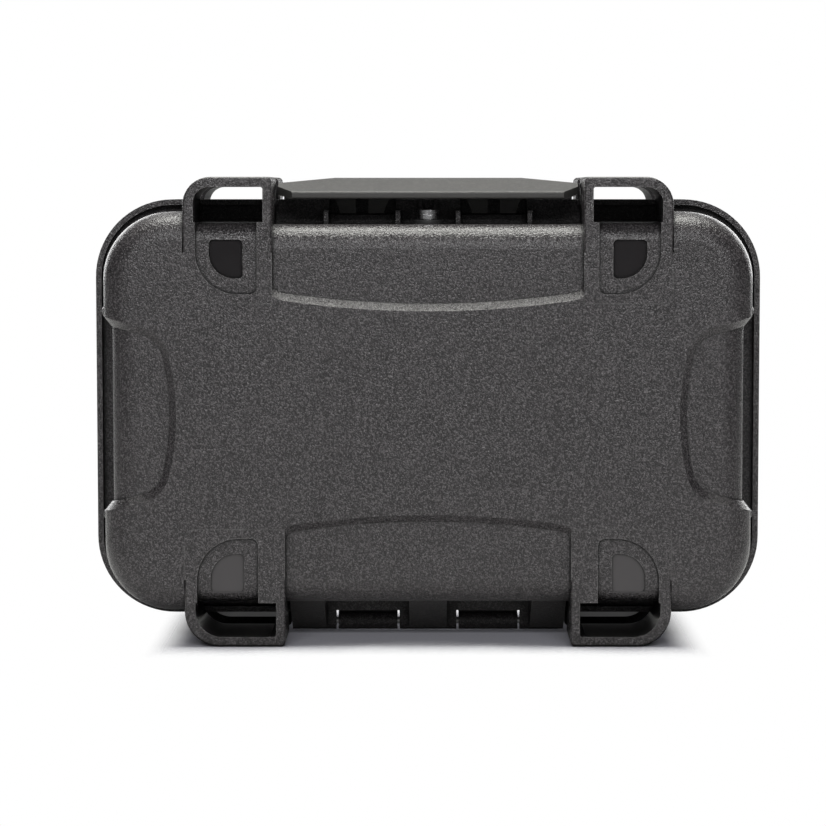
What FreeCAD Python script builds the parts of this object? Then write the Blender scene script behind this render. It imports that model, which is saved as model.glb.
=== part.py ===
import FreeCAD, Part
import os
import re
import Sketcher

# A compact protective case standing on its hinge edge. The base half lies on
# the -Y side, the lid half on the +Y side, and the halves part at y = 0.
# X runs along the hinge, Z runs up from the floor to the latch.

SIZES = [
    ("shell_width", 229.5, "outside width of a shell over its side walls"),
    ("shell_height", 141.5, "outside height of a shell over its end walls"),
    ("shell_lift", 12.0, "floor to the hinge-side wall of a shell"),
    ("base_depth", 40.0, "parting plane to the base's outer face"),
    ("lid_depth", 40.0, "parting plane to the lid's outer face"),
    ("shell_corner", 24.0, "corner radius of a shell in front view"),
    ("shell_edge", 10.0, "rounding between the outer face and the walls"),
    ("recess_face", 2.8, "depth of the bays and grips in the outer face"),
    ("recess_side", 2.9, "depth of the grips in the side walls"),
    ("recess_top", 4.5, "depth of the latch bay in the latch-side wall"),
    ("recess_bottom", 2.8, "depth of the hinge bay in the hinge-side wall"),
    ("recess_slope", 2.6, "width and depth of the sloped steps around the bays and grips"),
    ("wall", 2.6, "wall thickness inside the recesses"),
    ("latch_bay_reach", 27.7, "latch-side wall to the latch bay's edge at its ends"),
    ("latch_bay_bow", 4.5, "bulge of the latch bay's lower edge"),
    ("hinge_bay_reach", 28.1, "hinge-side wall to the hinge bay's edge at its ends"),
    ("hinge_bay_bow", 4.2, "bulge of the hinge bay's upper edge"),
    ("bay_corner", 6.0, "corner radius of the latch bay and the hinge bay"),
    ("grip_drop", 0.55, "middle of the grips under the middle of the shell"),
    ("grip_height", 63.7, "height of a side grip at the side wall"),
    ("grip_reach", 19.4, "reach of a side grip over the face at its ends"),
    ("grip_slant", 5.0, "slant of a side grip's ends over that reach"),
    ("grip_bow", 4.2, "extra reach of a side grip at its middle"),
    ("grip_corner", 10.0, "corner radius of a side grip"),
    ("lip_radius", 2.3, "radius of the raised lip at each grip end"),
    ("lip_proud", 0.9, "height of that lip over the side wall"),
    ("lip_step", 4.3, "grip end to the middle of its lip"),
    ("lip_setback", 12.0, "outer face to the front of a grip lip"),
    ("rim_proud_side", 5.25, "rim past a shell's side walls"),
    ("rim_proud_end", 4.25, "rim past a shell's end walls"),
    ("rim_corner", 28.0, "corner radius of the rim"),
    ("rim_thick", 4.0, "thickness of each rim flange"),
    ("curb_thick", 2.0, "thickness of the rim's turned edge"),
    ("curb_height", 4.0, "height of the rim's turned edge"),
    ("curb_clear", 0.7, "bumper side to the break of the turned edge"),
    ("seal_inset", 7.0, "rim edge to the middle of the seal"),
    ("groove_width", 3.2, "width of the seal groove in the lid"),
    ("groove_depth", 3.0, "depth of the seal groove"),
    ("gasket_width", 3.0, "width of the gasket"),
    ("gasket_height", 1.7, "height of the gasket in its groove"),
    ("gasket_edge", 0.7, "rounding of the gasket"),
    ("tongue_width", 1.8, "width of the base's sealing tongue"),
    ("tongue_height", 1.2, "height of the base's sealing tongue"),
    ("ear_width_top", 31.3, "width of a latch-side bumper"),
    ("ear_width_bottom", 35.5, "width of a hinge-side bumper"),
    ("ear_inset", 28.75, "side wall to the outer side of a bumper"),
    ("ear_rise", 12.2, "latch-side wall to the top of the bumpers"),
    ("ear_bar", 3.5, "thickness of a bumper loop's bar"),
    ("ear_post", 3.8, "thickness of a bumper loop's outer post"),
    ("ear_inner_post", 3.2, "thickness of a bumper loop's inner post"),
    ("ear_corner_top", 9.8, "outer corner radius of a latch-side bumper"),
    ("ear_corner_bottom", 12.5, "outer corner radius of a hinge-side bumper"),
    ("ear_pad_reach_top", 32.2, "latch-side wall to the far edge of a bumper pad"),
    ("ear_pad_reach_bottom", 29.8, "hinge-side wall to the far edge of a bumper pad"),
    ("ear_pad_corner", 4.0, "corner radius of a bumper pad on the face"),
    ("ear_edge", 0.9, "rounding of the bumper loops"),
    ("ear_plain", 18.0, "length of a bumper pad left unrounded, flush in its seat"),
    ("ear_lap", 3.0, "lap of a bumper's loop over its plain pad"),
    ("ear_gap", 0.6, "gap between the bumpers and the rim's turned edge"),
    ("ear_seam", 0.06, "seam between a bumper and its seat"),
    ("sill_cover", 0.9, "bumper left over the wall under a latch-side loop"),
    ("sill_step", 0.8, "step of a hinge-side loop into its wall's bay"),
    ("loop_corner_top", 5.6, "outer corner radius inside a latch-side loop"),
    ("loop_corner_bottom", 9.5, "outer corner radius inside a hinge-side loop"),
    ("sill_radius", 6.5, "rounding from a dished pad into its loop"),
    ("dish_width", 21.6, "width of a pad's dish"),
    ("dish_border", 4.4, "outer side of a bumper to its dish"),
    ("dish_margin", 3.4, "pad edge to its dish"),
    ("dish_depth", 1.2, "depth of a pad's dish"),
    ("dish_round_share", 0.69, "round corner of a dish as a share of its width"),
    ("dish_corner", 2.4, "tight corner of a dish"),
    ("foot_width_share", 0.55, "width of an inner seat as a share of the dish"),
    ("foot_border_share", 0.22, "dish's round side to its inner seat, as a share of the dish"),
    ("foot_margin", 5.5, "dish edge to its inner seat"),
    ("foot_height", 13.6, "height of an inner seat"),
    ("foot_depth", 2.0, "depth of an inner seat under the outer face"),
    ("foot_round_share", 0.75, "round corner of an inner seat as a share of its width"),
    ("foot_corner", 1.6, "tight corner of an inner seat"),
    ("barrel_lift", 0.3, "floor to the hinge knuckles"),
    ("barrel_radius", 3.2, "radius of the hinge knuckles"),
    ("knuckle_inner_share", 0.2258, "inner end of a lid knuckle as a share of the hinge's half width"),
    ("knuckle_outer_share", 0.6613, "outer end of a lid knuckle as a share of the hinge's half width"),
    ("knuckle_gap", 0.8, "gap between neighbouring knuckles"),
    ("block_gap", 0.9, "gap between a bumper and the hinge block beside it"),
    ("cheek", 3.6, "part of a base knuckle left bare beside its block"),
    ("block_reach", 26.0, "parting plane to the front of a hinge block"),
    ("hinge_pin_radius", 1.25, "radius of the hinge pins"),
    ("pin_play", 0.05, "radial play around the pins"),
    ("pin_start", 1.6, "middle to the inner end of a hinge pin"),
    ("pin_sink", 1.0, "depth of a hinge pin's end in its bore"),
    ("lever_gap", 1.2, "gap between the lever and the bumpers"),
    ("lever_taper", 20.0, "length of the lever's falling ends"),
    ("lever_drop", 2.0, "fall of the lever's top at its ends"),
    ("lever_bevel_side", 5.3, "width of the bevel beside the free edge"),
    ("lever_bevel", 6.0, "depth of the bevel beside the free edge"),
    ("lever_setback", 15.0, "base's outer face to the lever's free edge"),
    ("lever_slope_run", 16.0, "run of the lever's sloped front"),
    ("lug_clear", 1.6, "gap between the lever's back and the latch lugs"),
    ("lever_rise", 4.4, "latch pivot to the lever's top"),
    ("lever_edge_fall", 3.35, "latch pivot down to the underside of the free edge"),
    ("lever_edge_thick", 2.7, "thickness of the free edge"),
    ("lever_thick", 3.2, "thickness of the lever's top"),
    ("lever_rounding", 0.8, "rounding of the lever's edges"),
    ("pivot_reach", 13.5, "parting plane to the latch pivot"),
    ("pivot_rise", 3.35, "rim to the latch pivot"),
    ("pivot_radius", 3.4, "radius of the latch knuckles"),
    ("arm_inner_share", 0.228, "inner end of a latch knuckle as a share of the lever's half width"),
    ("arm_outer_share", 0.6692, "outer end of a latch knuckle as a share of the lever's half width"),
    ("lug_thick", 3.0, "thickness of the lid's latch lugs"),
    ("lug_gap", 0.5, "gap between a latch knuckle and its lugs"),
    ("screen_gap", 1.5, "gap between the bumpers and the screen behind the latch"),
    ("screen_step", 4.8, "latch pivot to the screen behind it"),
    ("screen_thick", 2.4, "thickness of that screen"),
    ("screen_drop", 1.4, "latch pivot down to the top of that screen"),
    ("latch_pin_radius", 1.0, "radius of the latch pins"),
    ("claw_middle_share", 0.443, "place of a claw as a share of the lever's half width"),
    ("claw_root_share", 0.43, "width of a claw at its root as a share of the lever's half width"),
    ("claw_tip_share", 0.29, "width of a claw at its tip as a share of the lever's half width"),
    ("claw_hook", 4.95, "rim to the tip of the claws"),
    ("claw_slot", 4.5, "width of the slot in a claw"),
    ("claw_bridge", 3.0, "height of a claw left solid over its slot"),
    ("claw_clear", 0.5, "gap between the claws and the rim"),
    ("claw_thick", 4.5, "thickness of the claws"),
    ("claw_room", 0.6, "room around a claw in the rim's notch"),
    ("cheek_rib", 1.6, "thickness of the ribs beside a claw's notch"),
    ("cheek_rise", 4.8, "height of those ribs over the latch bay"),
    ("cheek_run", 9.0, "reach of those ribs from the rim"),
    ("guard_width", 6.8, "width of the notched post behind the valve"),
    ("guard_thick", 2.0, "thickness of that post in front of the rim"),
    ("guard_rise", 9.6, "height of that post over the latch bay"),
    ("guard_notch", 2.1, "radius of the notch in that post"),
    ("guard_notch_depth", 5.0, "depth of that notch"),
    ("valve_clear", 2.4, "valve nut to the rounding of the hollow"),
    ("valve_stem", 2.0, "radius of the valve stem"),
    ("valve_play", 0.06, "radial play of the valve stem"),
    ("valve_barrel", 3.4, "radius of the valve housing's barrel"),
    ("valve_flange", 5.4, "radius of the valve housing's flange"),
    ("valve_flange_thick", 1.0, "thickness of the valve housing's flange"),
    ("valve_seal_thick", 0.5, "thickness of the valve seal"),
    ("valve_knob", 4.0, "radius of the purge knob"),
    ("valve_knob_height", 3.2, "height of the purge knob"),
    ("valve_knob_gap", 0.3, "gap under the purge knob"),
    ("valve_nut", 5.2, "radius of the valve nut"),
    ("valve_nut_thick", 2.4, "thickness of the valve nut"),
    ("valve_tail", 1.0, "housing left standing past its nut"),
    ("valve_keeper", 3.0, "radius of the stem's keeper head"),
    ("valve_keeper_thick", 1.0, "thickness of the stem's keeper head"),
    ("foam_inset", 7.0, "cavity wall to the foam pads"),
    ("base_foam_thick", 8.0, "thickness of the base's foam pad"),
    ("lid_foam_thick", 12.0, "thickness of the lid's foam pad"),
    ("foam_corner", 10.0, "corner radius of the foam pads"),
    ("overrun", 6.0, "how far cutting shapes run past what they cut"),
    ("sink", 1.0, "how far joined shapes run into one another"),
]

# Sizes and places that follow from the ones above.
PLACES = [
    ("rim_width", "shell_width + 2 * rim_proud_side", "width over the rim flanges"),
    ("rim_height", "shell_height + 2 * rim_proud_end", "height over the rim flanges"),
    ("rim_lift", "shell_lift - rim_proud_end", "floor to the rim"),
    ("ear_outer", "shell_width / 2 - ear_inset", "middle to the outer side of a bumper"),
    ("ear_inner_top", "ear_outer - ear_width_top",
     "middle to the inner side of a latch-side bumper"),
    ("ear_inner_bottom", "ear_outer - ear_width_bottom",
     "middle to the inner side of a hinge-side bumper"),
    ("ear_top", "shell_lift + shell_height + ear_rise", "floor to the top of the bumpers"),
    ("ear_pad_low", "shell_lift + shell_height - ear_pad_reach_top",
     "lower edge of the latch-side bumper pads"),
    ("ear_pad_high", "shell_lift + ear_pad_reach_bottom",
     "upper edge of the hinge-side bumper pads"),
    ("ear_setback", "rim_thick + curb_height + ear_gap", "parting plane to the bumpers"),
    ("loop_sill_top", "shell_lift + shell_height - recess_top + sill_cover",
     "height of the latch-side loops' lower edge"),
    ("loop_sill_bottom", "shell_lift + recess_bottom + sill_step",
     "height of the hinge-side loops' upper edge"),
    ("latch_bay_end", "shell_lift + shell_height - latch_bay_reach",
     "height of the latch bay's lower edge at its ends"),
    ("hinge_bay_end", "shell_lift + hinge_bay_reach",
     "height of the hinge bay's upper edge at its ends"),
    ("grip_low", "shell_lift + shell_height / 2 - grip_drop - grip_height / 2",
     "height of a side grip's lower end"),
    ("grip_high", "grip_low + grip_height", "height of a side grip's upper end"),
    ("dish_outer", "ear_outer - dish_border", "middle to the round side of a pad's dish"),
    ("dish_inner", "dish_outer - dish_width", "middle to the straight side of a pad's dish"),
    ("dish_low", "ear_pad_low + dish_margin", "lower edge of the latch-side dishes"),
    ("dish_high", "ear_pad_high - dish_margin", "upper edge of the hinge-side dishes"),
    ("dish_round", "dish_width * dish_round_share", "round corner of a dish"),
    ("foot_outer", "dish_outer - dish_width * foot_border_share",
     "middle to the round side of a dish's inner seat"),
    ("foot_inner", "foot_outer - dish_width * foot_width_share",
     "middle to the straight side of a dish's inner seat"),
    ("foot_low_top", "dish_low + foot_margin", "lower edge of the latch-side inner seats"),
    ("foot_high_top", "foot_low_top + foot_height", "upper edge of the latch-side inner seats"),
    ("foot_high_bottom", "dish_high - foot_margin", "upper edge of the hinge-side inner seats"),
    ("foot_low_bottom", "foot_high_bottom - foot_height",
     "lower edge of the hinge-side inner seats"),
    ("foot_round", "(foot_outer - foot_inner) * foot_round_share", "round corner of an inner seat"),
    ("hinge_height", "barrel_radius + barrel_lift", "floor to the lid hinge's axis"),
    ("block_end", "ear_inner_bottom - block_gap", "middle to the outer end of the base knuckles"),
    ("pin_end", "block_end - pin_sink", "middle to the outer end of a hinge pin"),
    ("knuckle_inner", "block_end * knuckle_inner_share", "middle to the inner end of a lid knuckle"),
    ("knuckle_outer", "block_end * knuckle_outer_share", "middle to the outer end of a lid knuckle"),
    ("curb_gap_latch", "2 * (ear_inner_top - curb_clear)", "break of the turned edge at the latch"),
    ("curb_gap_hinge", "2 * ear_inner_bottom", "break of the turned edge at the hinge"),
    ("lever_half", "ear_inner_top - lever_gap", "half width of the latch lever"),
    ("arm_inner", "lever_half * arm_inner_share", "middle to the inner end of a latch knuckle"),
    ("arm_outer", "lever_half * arm_outer_share", "middle to the outer end of a latch knuckle"),
    ("claw_middle", "lever_half * claw_middle_share", "middle to the middle of a claw"),
    ("claw_root", "lever_half * claw_root_share", "width of a claw at its root"),
    ("claw_tip", "lever_half * claw_tip_share", "width of a claw at its tip"),
    ("lever_flat", "lever_half - lever_taper", "half width of the lever's level top"),
    ("lever_nose", "lever_half - lever_bevel_side", "half width of the lever's free edge"),
    ("lever_front", "base_depth - lever_setback", "parting plane to the lever's free edge"),
    ("lever_crest", "lever_front - lever_slope_run",
     "parting plane to the front of the lever's top"),
    ("lever_back", "pivot_reach - pivot_radius - lug_clear",
     "parting plane to the back of the lever's top"),
    ("pivot_height", "rim_lift + rim_height + pivot_rise", "floor to the latch pivot"),
    ("screen_half", "ear_inner_top - screen_gap", "half width of the screen behind the latch"),
    ("lever_top", "pivot_height + lever_rise", "floor to the lever's top"),
    ("lever_edge_low", "pivot_height - lever_edge_fall", "floor to the underside of the free edge"),
    ("lever_edge_high", "lever_edge_low + lever_edge_thick", "floor to the top of the free edge"),
    ("claw_low", "rim_lift + rim_height - claw_hook", "floor to the tip of the claws"),
    ("claw_near", "rim_thick + claw_clear", "parting plane to the back of the claws"),
    ("valve_reach", "base_depth - recess_face / 2 - shell_edge - valve_nut - valve_clear",
     "parting plane to the purge valve"),
]

BASE, LID = -1, 1
LEFT, RIGHT = -1, 1
SIDE_NAMES = {LEFT: "left", RIGHT: "right"}
HALF_NAMES = {BASE: "base", LID: "lid"}
ALIASES = {alias for alias, _, _ in SIZES + PLACES}
NEAR = 1e-3

os.makedirs("parts", exist_ok=True)
doc = FreeCAD.newDocument("protective_case")
sheet = doc.addObject("Spreadsheet::Sheet", "Sizes")
for row, (alias, size, meaning) in enumerate(SIZES, start=1):
    sheet.set(f"A{row}", alias)
    sheet.set(f"B{row}", str(size))
    sheet.setAlias(f"B{row}", alias)
    sheet.set(f"C{row}", meaning)
for row, (alias, formula, meaning) in enumerate(PLACES, start=len(SIZES) + 1):
    sheet.set(f"A{row}", alias)
    sheet.set(f"B{row}", f"={formula}")
    sheet.setAlias(f"B{row}", alias)
    sheet.set(f"C{row}", meaning)
doc.recompute()


def bound(text):
    """Turn a formula in sheet aliases into one that any object can be bound to."""
    def named(word):
        return f"Sizes.{word[0]}" if word[0] in ALIASES else word[0]

    return re.sub(r"[a-z_]+", named, str(text))


def value(text):
    """Work out the number that a formula in sheet aliases stands for."""
    return float(sheet.evalExpression(bound(text)))


def times(sign, text):
    """Write a formula with a sign in front of it."""
    return f"{sign} * ({text})"


def bind_coordinate(sketch, kind, geometry, end, text):
    """Hold one coordinate of a sketch point at a formula."""
    index = sketch.addConstraint(Sketcher.Constraint(kind, -1, 1, geometry, end, value(text)))
    name = f"hold{index}"
    sketch.renameConstraint(index, name)
    sketch.setExpression(f"Constraints.{name}", bound(text))


def bind_radius(sketch, geometry, text):
    """Hold the radius of a sketch arc at a formula."""
    index = sketch.addConstraint(Sketcher.Constraint("Radius", geometry, value(text)))
    name = f"hold{index}"
    sketch.renameConstraint(index, name)
    sketch.setExpression(f"Constraints.{name}", bound(text))


def add_loop(sketch, loop):
    """Draw a closed outline; a corner's third entry bows the side after it outward."""
    first = sketch.GeometryCount
    ends = []
    for corner, following in zip(loop, loop[1:] + loop[:1]):
        start = FreeCAD.Vector(value(corner[0]), value(corner[1]), 0)
        stop = FreeCAD.Vector(value(following[0]), value(following[1]), 0)
        if len(corner) == 2:
            sketch.addGeometry(Part.LineSegment(start, stop))
            ends.append((1, 2))
            continue
        run = stop - start
        outward = FreeCAD.Vector(run.y, -run.x, 0).normalize()
        middle = (start + stop) * 0.5 + outward * value(corner[2])
        bulges = value(corner[2]) > 0
        arc = Part.Arc(start, middle, stop) if bulges else Part.Arc(stop, middle, start)
        index = sketch.addGeometry(arc)
        chord = f"((({following[0]}) - ({corner[0]}))^2 + (({following[1]}) - ({corner[1]}))^2)"
        bind_radius(sketch, index, f"{chord} / (8 * abs({corner[2]})) + abs({corner[2]}) / 2")
        ends.append((1, 2) if bulges else (2, 1))
    count = len(loop)
    for index in range(count):
        after = (index + 1) % count
        stop, start = (first + index, ends[index][1]), (first + after, ends[after][0])
        sketch.addConstraint(Sketcher.Constraint("Coincident", *stop, *start))
    for index, corner in enumerate(loop):
        bind_coordinate(sketch, "DistanceX", first + index, ends[index][0], corner[0])
        bind_coordinate(sketch, "DistanceY", first + index, ends[index][0], corner[1])


def round_edges(body, picked, radius):
    """Round the edges of a body's last feature that a test picks out."""
    base = body.Tip
    names = [f"Edge{index}" for index, edge in enumerate(base.Shape.Edges, start=1) if picked(edge)]
    fillet = body.newObject("PartDesign::Fillet", f"{body.Name}_rounding")
    fillet.Base = (base, names)
    fillet.setExpression("Radius", bound(radius))
    doc.recompute()
    return fillet


def lies_at(edge, depth):
    """Tell whether an edge lies in the upright plane at a Y coordinate."""
    return all(abs(point.y - depth) < NEAR for point in edge.discretize(3))


ACROSS = {"XZ_Plane": ("x", "z"), "YZ_Plane": ("y", "z"), "XY_Plane": ("x", "y")}


def prism(name, plane, start, length, loops, rounds=()):
    """Extrude outlines from a start coordinate along an axis, with rounded corners.

    Each entry of rounds is a radius and the outline corners that it rounds.
    """
    body = doc.addObject("PartDesign::Body", name)
    body.Label = name
    sketch = body.newObject("Sketcher::SketchObject", f"{name}_outline")
    origin = next(item for item in body.Origin.OriginFeatures if item.Role == plane)
    sketch.AttachmentSupport = (origin, [""])
    sketch.MapMode = "FlatFace"
    faces_back = plane == "XZ_Plane"
    sketch.setExpression(".AttachmentOffset.Base.z", bound(times(-1, start) if faces_back else start))
    for loop in loops:
        add_loop(sketch, loop)
    pad = body.newObject("PartDesign::Pad", f"{name}_pad")
    pad.Profile = (sketch, [""])
    pad.Reversed = faces_back
    pad.setExpression("Length", bound(length))
    doc.recompute()
    first, second = ACROSS[plane]
    for radius, corners in rounds:
        spots = [(value(corner[0]), value(corner[1])) for corner in corners]

        def at_corner(edge):
            ends = [vertex.Point for vertex in edge.Vertexes]
            return len(ends) == 2 and any(
                all(abs(getattr(p, first) - u) < NEAR and abs(getattr(p, second) - v) < NEAR for p in ends)
                for u, v in spots
            )

        round_edges(body, at_corner, radius)
    return body


def slab(name, half, inner, outer, loops, rounds=()):
    """Extrude front-view outlines between two distances from the parting plane."""
    start = inner if half == LID else times(-1, outer)
    return prism(name, "XZ_Plane", start, f"({outer}) - ({inner})", loops, rounds)


def rectangle(left, right, low, high):
    """List the corners of an upright rectangle, anticlockwise."""
    return [(left, low), (right, low), (right, high), (left, high)]


def middle_rectangle(width, low, high):
    """List the corners of a rectangle centred on x = 0, anticlockwise."""
    return rectangle(f"-({width}) / 2", f"({width}) / 2", low, high)


def side_rectangle(side, inner, outer, low, high):
    """List the corners of a rectangle on one side of the middle, anticlockwise."""
    edges = [times(side, inner), times(side, outer)]
    return rectangle(*(edges if side == RIGHT else edges[::-1]), low, high)


def round_block(name, half, outer, width, low, high, corner, edge):
    """Make a block from the parting plane to an outer face, its face edge rounded."""
    loop = middle_rectangle(width, low, high)
    body = slab(name, half, "0", outer, [loop], [(corner, loop)])
    face = half * value(outer)
    round_edges(body, lambda side: lies_at(side, face), edge)
    return body


def ring(name, half, inner, outer, width, low, high, corner, thick):
    """Make an upright rounded frame, thick measured inward from its outside."""
    outside = middle_rectangle(width, low, high)
    inside = middle_rectangle(f"({width}) - 2 * ({thick})", f"({low}) + ({thick})", f"({high}) - ({thick})")
    rounds = [(corner, outside), (f"({corner}) - ({thick})", inside)]
    return slab(name, half, inner, outer, [outside, inside], rounds)


def block(name, left, right, near, far, low, high):
    """Make a plain block from its limits along X, Y and Z."""
    box = doc.addObject("Part::Box", name)
    box.setExpression("Length", bound(f"({right}) - ({left})"))
    box.setExpression("Width", bound(f"({far}) - ({near})"))
    box.setExpression("Height", bound(f"({high}) - ({low})"))
    for axis, text in zip("xyz", (left, near, low)):
        box.setExpression(f".Placement.Base.{axis}", bound(text))
    return box


def side_block(name, side, inner, outer, half, near, far, low, high):
    """Make a plain block on one side of the middle and of the parting plane."""
    xs = (times(side, inner), times(side, outer))[::side]
    ys = (times(half, near), times(half, far))[::half]
    return block(name, *xs, *ys, low, high)


def cylinder(name, axis, start, length, radius, across):
    """Make a cylinder along X, Y or Z from its start coordinate."""
    turns = {"x": (FreeCAD.Vector(0, 1, 0), 90), "y": (FreeCAD.Vector(1, 0, 0), -90)}
    item = doc.addObject("Part::Cylinder", name)
    if axis in turns:
        item.Placement = FreeCAD.Placement(FreeCAD.Vector(), FreeCAD.Rotation(*turns[axis]))
    item.setExpression("Radius", bound(radius))
    item.setExpression("Height", bound(length))
    item.setExpression(f".Placement.Base.{axis}", bound(start))
    for other, text in zip([letter for letter in "xyz" if letter != axis], across):
        item.setExpression(f".Placement.Base.{other}", bound(text))
    return item


def side_cylinder(name, side, inner, outer, radius, across):
    """Make a cylinder along X on one side of the middle."""
    start = inner if side == RIGHT else times(-1, outer)
    return cylinder(name, "x", start, f"({outer}) - ({inner})", radius, across)


def join(name, items):
    """Fuse shapes into one solid."""
    fused = doc.addObject("Part::MultiFuse", name)
    fused.Shapes = items
    fused.Refine = True
    return fused


def cut(name, base, tools):
    """Take shapes away from a base shape."""
    taken = doc.addObject("Part::Cut", name)
    taken.Base = base
    taken.Tool = tools[0] if len(tools) == 1 else join(f"{name}_tools", tools)
    taken.Refine = True
    return taken


DEPTH = {BASE: "base_depth", LID: "lid_depth"}
SHELL_TOP = "shell_lift + shell_height"
RIM_TOP = "rim_lift + rim_height"
CORE_WIDTH = "shell_width - 2 * recess_side"
CORE_LOW = "shell_lift + recess_bottom"
CORE_HIGH = f"{SHELL_TOP} - recess_top"
CORE_CORNER = "shell_corner - recess_bottom"
CORE_EDGE = "shell_edge - recess_face / 2"
CAVITY_WIDTH = f"{CORE_WIDTH} - 2 * wall"
CAVITY_LOW = f"{CORE_LOW} + wall"
CAVITY_HIGH = f"{CORE_HIGH} - wall"
EAR_INNER = {"top": "ear_inner_top", "bottom": "ear_inner_bottom"}
HINGE_AXIS = ("0", "hinge_height")
PIVOT_AXIS = ("pivot_reach", "pivot_height")
LUG_SPANS = (("inner", "arm_inner - lug_gap - lug_thick", "arm_inner - lug_gap"),
             ("outer", "arm_outer + lug_gap", "arm_outer + lug_gap + lug_thick"))
QUARTER_BOW = "(1 - sqrt(2) / 2)"
FINISHED = []


def finish(item, label):
    """Name a finished piece."""
    item.Label = label
    FINISHED.append(item)
    return item


def seat_outline(side, end):
    """Give the front outline of a bumper's seat, a seam wider than the bumper."""
    inner, outer = f"{EAR_INNER[end]} - ear_seam", "ear_outer + ear_seam"
    if end == "top":
        return side_rectangle(side, inner, outer, "ear_pad_low - ear_seam", "ear_top")
    return side_rectangle(side, inner, outer, "0", "ear_pad_high + ear_seam")


def make_core(half, tag):
    """Make the inner skin that shows in the bays, in the grips and under the bumpers."""
    return round_block(f"{tag}_core", half, f"{DEPTH[half]} - recess_face", CORE_WIDTH, CORE_LOW, CORE_HIGH,
                       CORE_CORNER, CORE_EDGE)


def make_bumper(half, side, end):
    """Make one bumper: a pad let into the shell's face, carried out into a strap loop."""
    depth = DEPTH[half]
    label = f"{HALF_NAMES[half]}_bumper_{end}_{SIDE_NAMES[side]}"
    top = end == "top"
    outer, inner = times(side, "ear_outer"), times(side, EAR_INNER[end])
    pad_edge, loop_edge = ("ear_pad_low", "ear_top") if top else ("ear_pad_high", "0")
    low, high = ("loop_sill_top", "ear_top - ear_bar") if top else ("ear_bar", "loop_sill_bottom")
    sill, far = (low, high) if top else (high, low)
    turn, beyond = ("-", "+") if top else ("+", "-")
    pad_end = f"{pad_edge} {beyond} ear_plain"
    loop_end = f"{pad_end} {turn} ear_lap"
    spans = [(pad_edge, pad_end), (loop_end, loop_edge)]
    pad_outline, loop_outline = [
        side_rectangle(side, EAR_INNER[end], "ear_outer", *(span if top else span[::-1])) for span in spans]
    pad = slab(f"{label}_pad", half, "ear_setback", depth, [pad_outline],
               [("ear_pad_corner", [(outer, pad_edge)])])
    loop = slab(f"{label}_loop", half, "ear_setback", depth, [loop_outline], [
        (f"ear_corner_{end}", [(outer, loop_edge)]),
        ("ear_inner_post / 2", [(inner, loop_edge)]),
    ])
    faces = [half * value(depth), half * value("ear_setback")]
    round_edges(loop, lambda edge: any(lies_at(edge, face) for face in faces), "ear_edge")
    body = join(f"{label}_body", [pad, loop])
    window_inner, window_outer = f"{EAR_INNER[end]} + ear_inner_post", "ear_outer - ear_post"
    window = side_rectangle(side, window_inner, window_outer, low, high)
    past_face = f"{depth} + overrun"
    window_cut = slab(f"{label}_window", half, "0", past_face, [window], [
        (f"loop_corner_{end}", [(times(side, window_outer), far)]),
        ("ear_edge", [(times(side, window_inner), far)]),
    ])
    dish_far = "dish_low" if top else "dish_high"
    dish_limits = (dish_far, f"{sill} + sink") if top else (f"{sill} - sink", dish_far)
    dish = side_rectangle(side, "dish_inner", "dish_outer", *dish_limits)
    dish_cut = slab(f"{label}_dish", half, f"{depth} - dish_depth", past_face, [dish], [
        ("dish_round", [(times(side, "dish_outer"), dish_far)]),
        ("dish_corner", [(times(side, "dish_inner"), dish_far)]),
    ])
    seat_limits = ("foot_low_top", "foot_high_top") if top else ("foot_low_bottom", "foot_high_bottom")
    seat = side_rectangle(side, "foot_inner", "foot_outer", *seat_limits)
    round_spot = (times(side, "foot_outer"), seat_limits[0 if top else 1])
    tight = [corner for corner in seat if corner != round_spot]
    seat_cut = slab(f"{label}_recess", half, f"{depth} - foot_depth", past_face, [seat],
                    [("foot_round", [round_spot]), ("foot_corner", tight)])
    floor = f"{depth} - dish_depth"
    sill_loop = [
        (times(half, floor), f"{sill} {turn} sill_radius", f"-{QUARTER_BOW} * sill_radius"),
        (times(half, f"{floor} - sill_radius"), sill),
        (times(half, f"{floor} - sill_radius"), f"{sill} {beyond} sink"),
        (times(half, f"{floor} + sink"), f"{sill} {beyond} sink"),
        (times(half, f"{floor} + sink"), f"{sill} {turn} sill_radius"),
    ]
    if (half == LID) == top:
        sill_loop = [sill_loop[1][:2] + sill_loop[0][2:], sill_loop[0][:2]] + sill_loop[:1:-1]
    sill_start = "dish_inner" if side == RIGHT else times(-1, "dish_outer")
    sill_cut = prism(f"{label}_sill", "YZ_Plane", sill_start, "dish_outer - dish_inner", [sill_loop])
    core = make_core(half, label)
    return finish(cut(label, body, [window_cut, dish_cut, seat_cut, sill_cut, core]), label)


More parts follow.
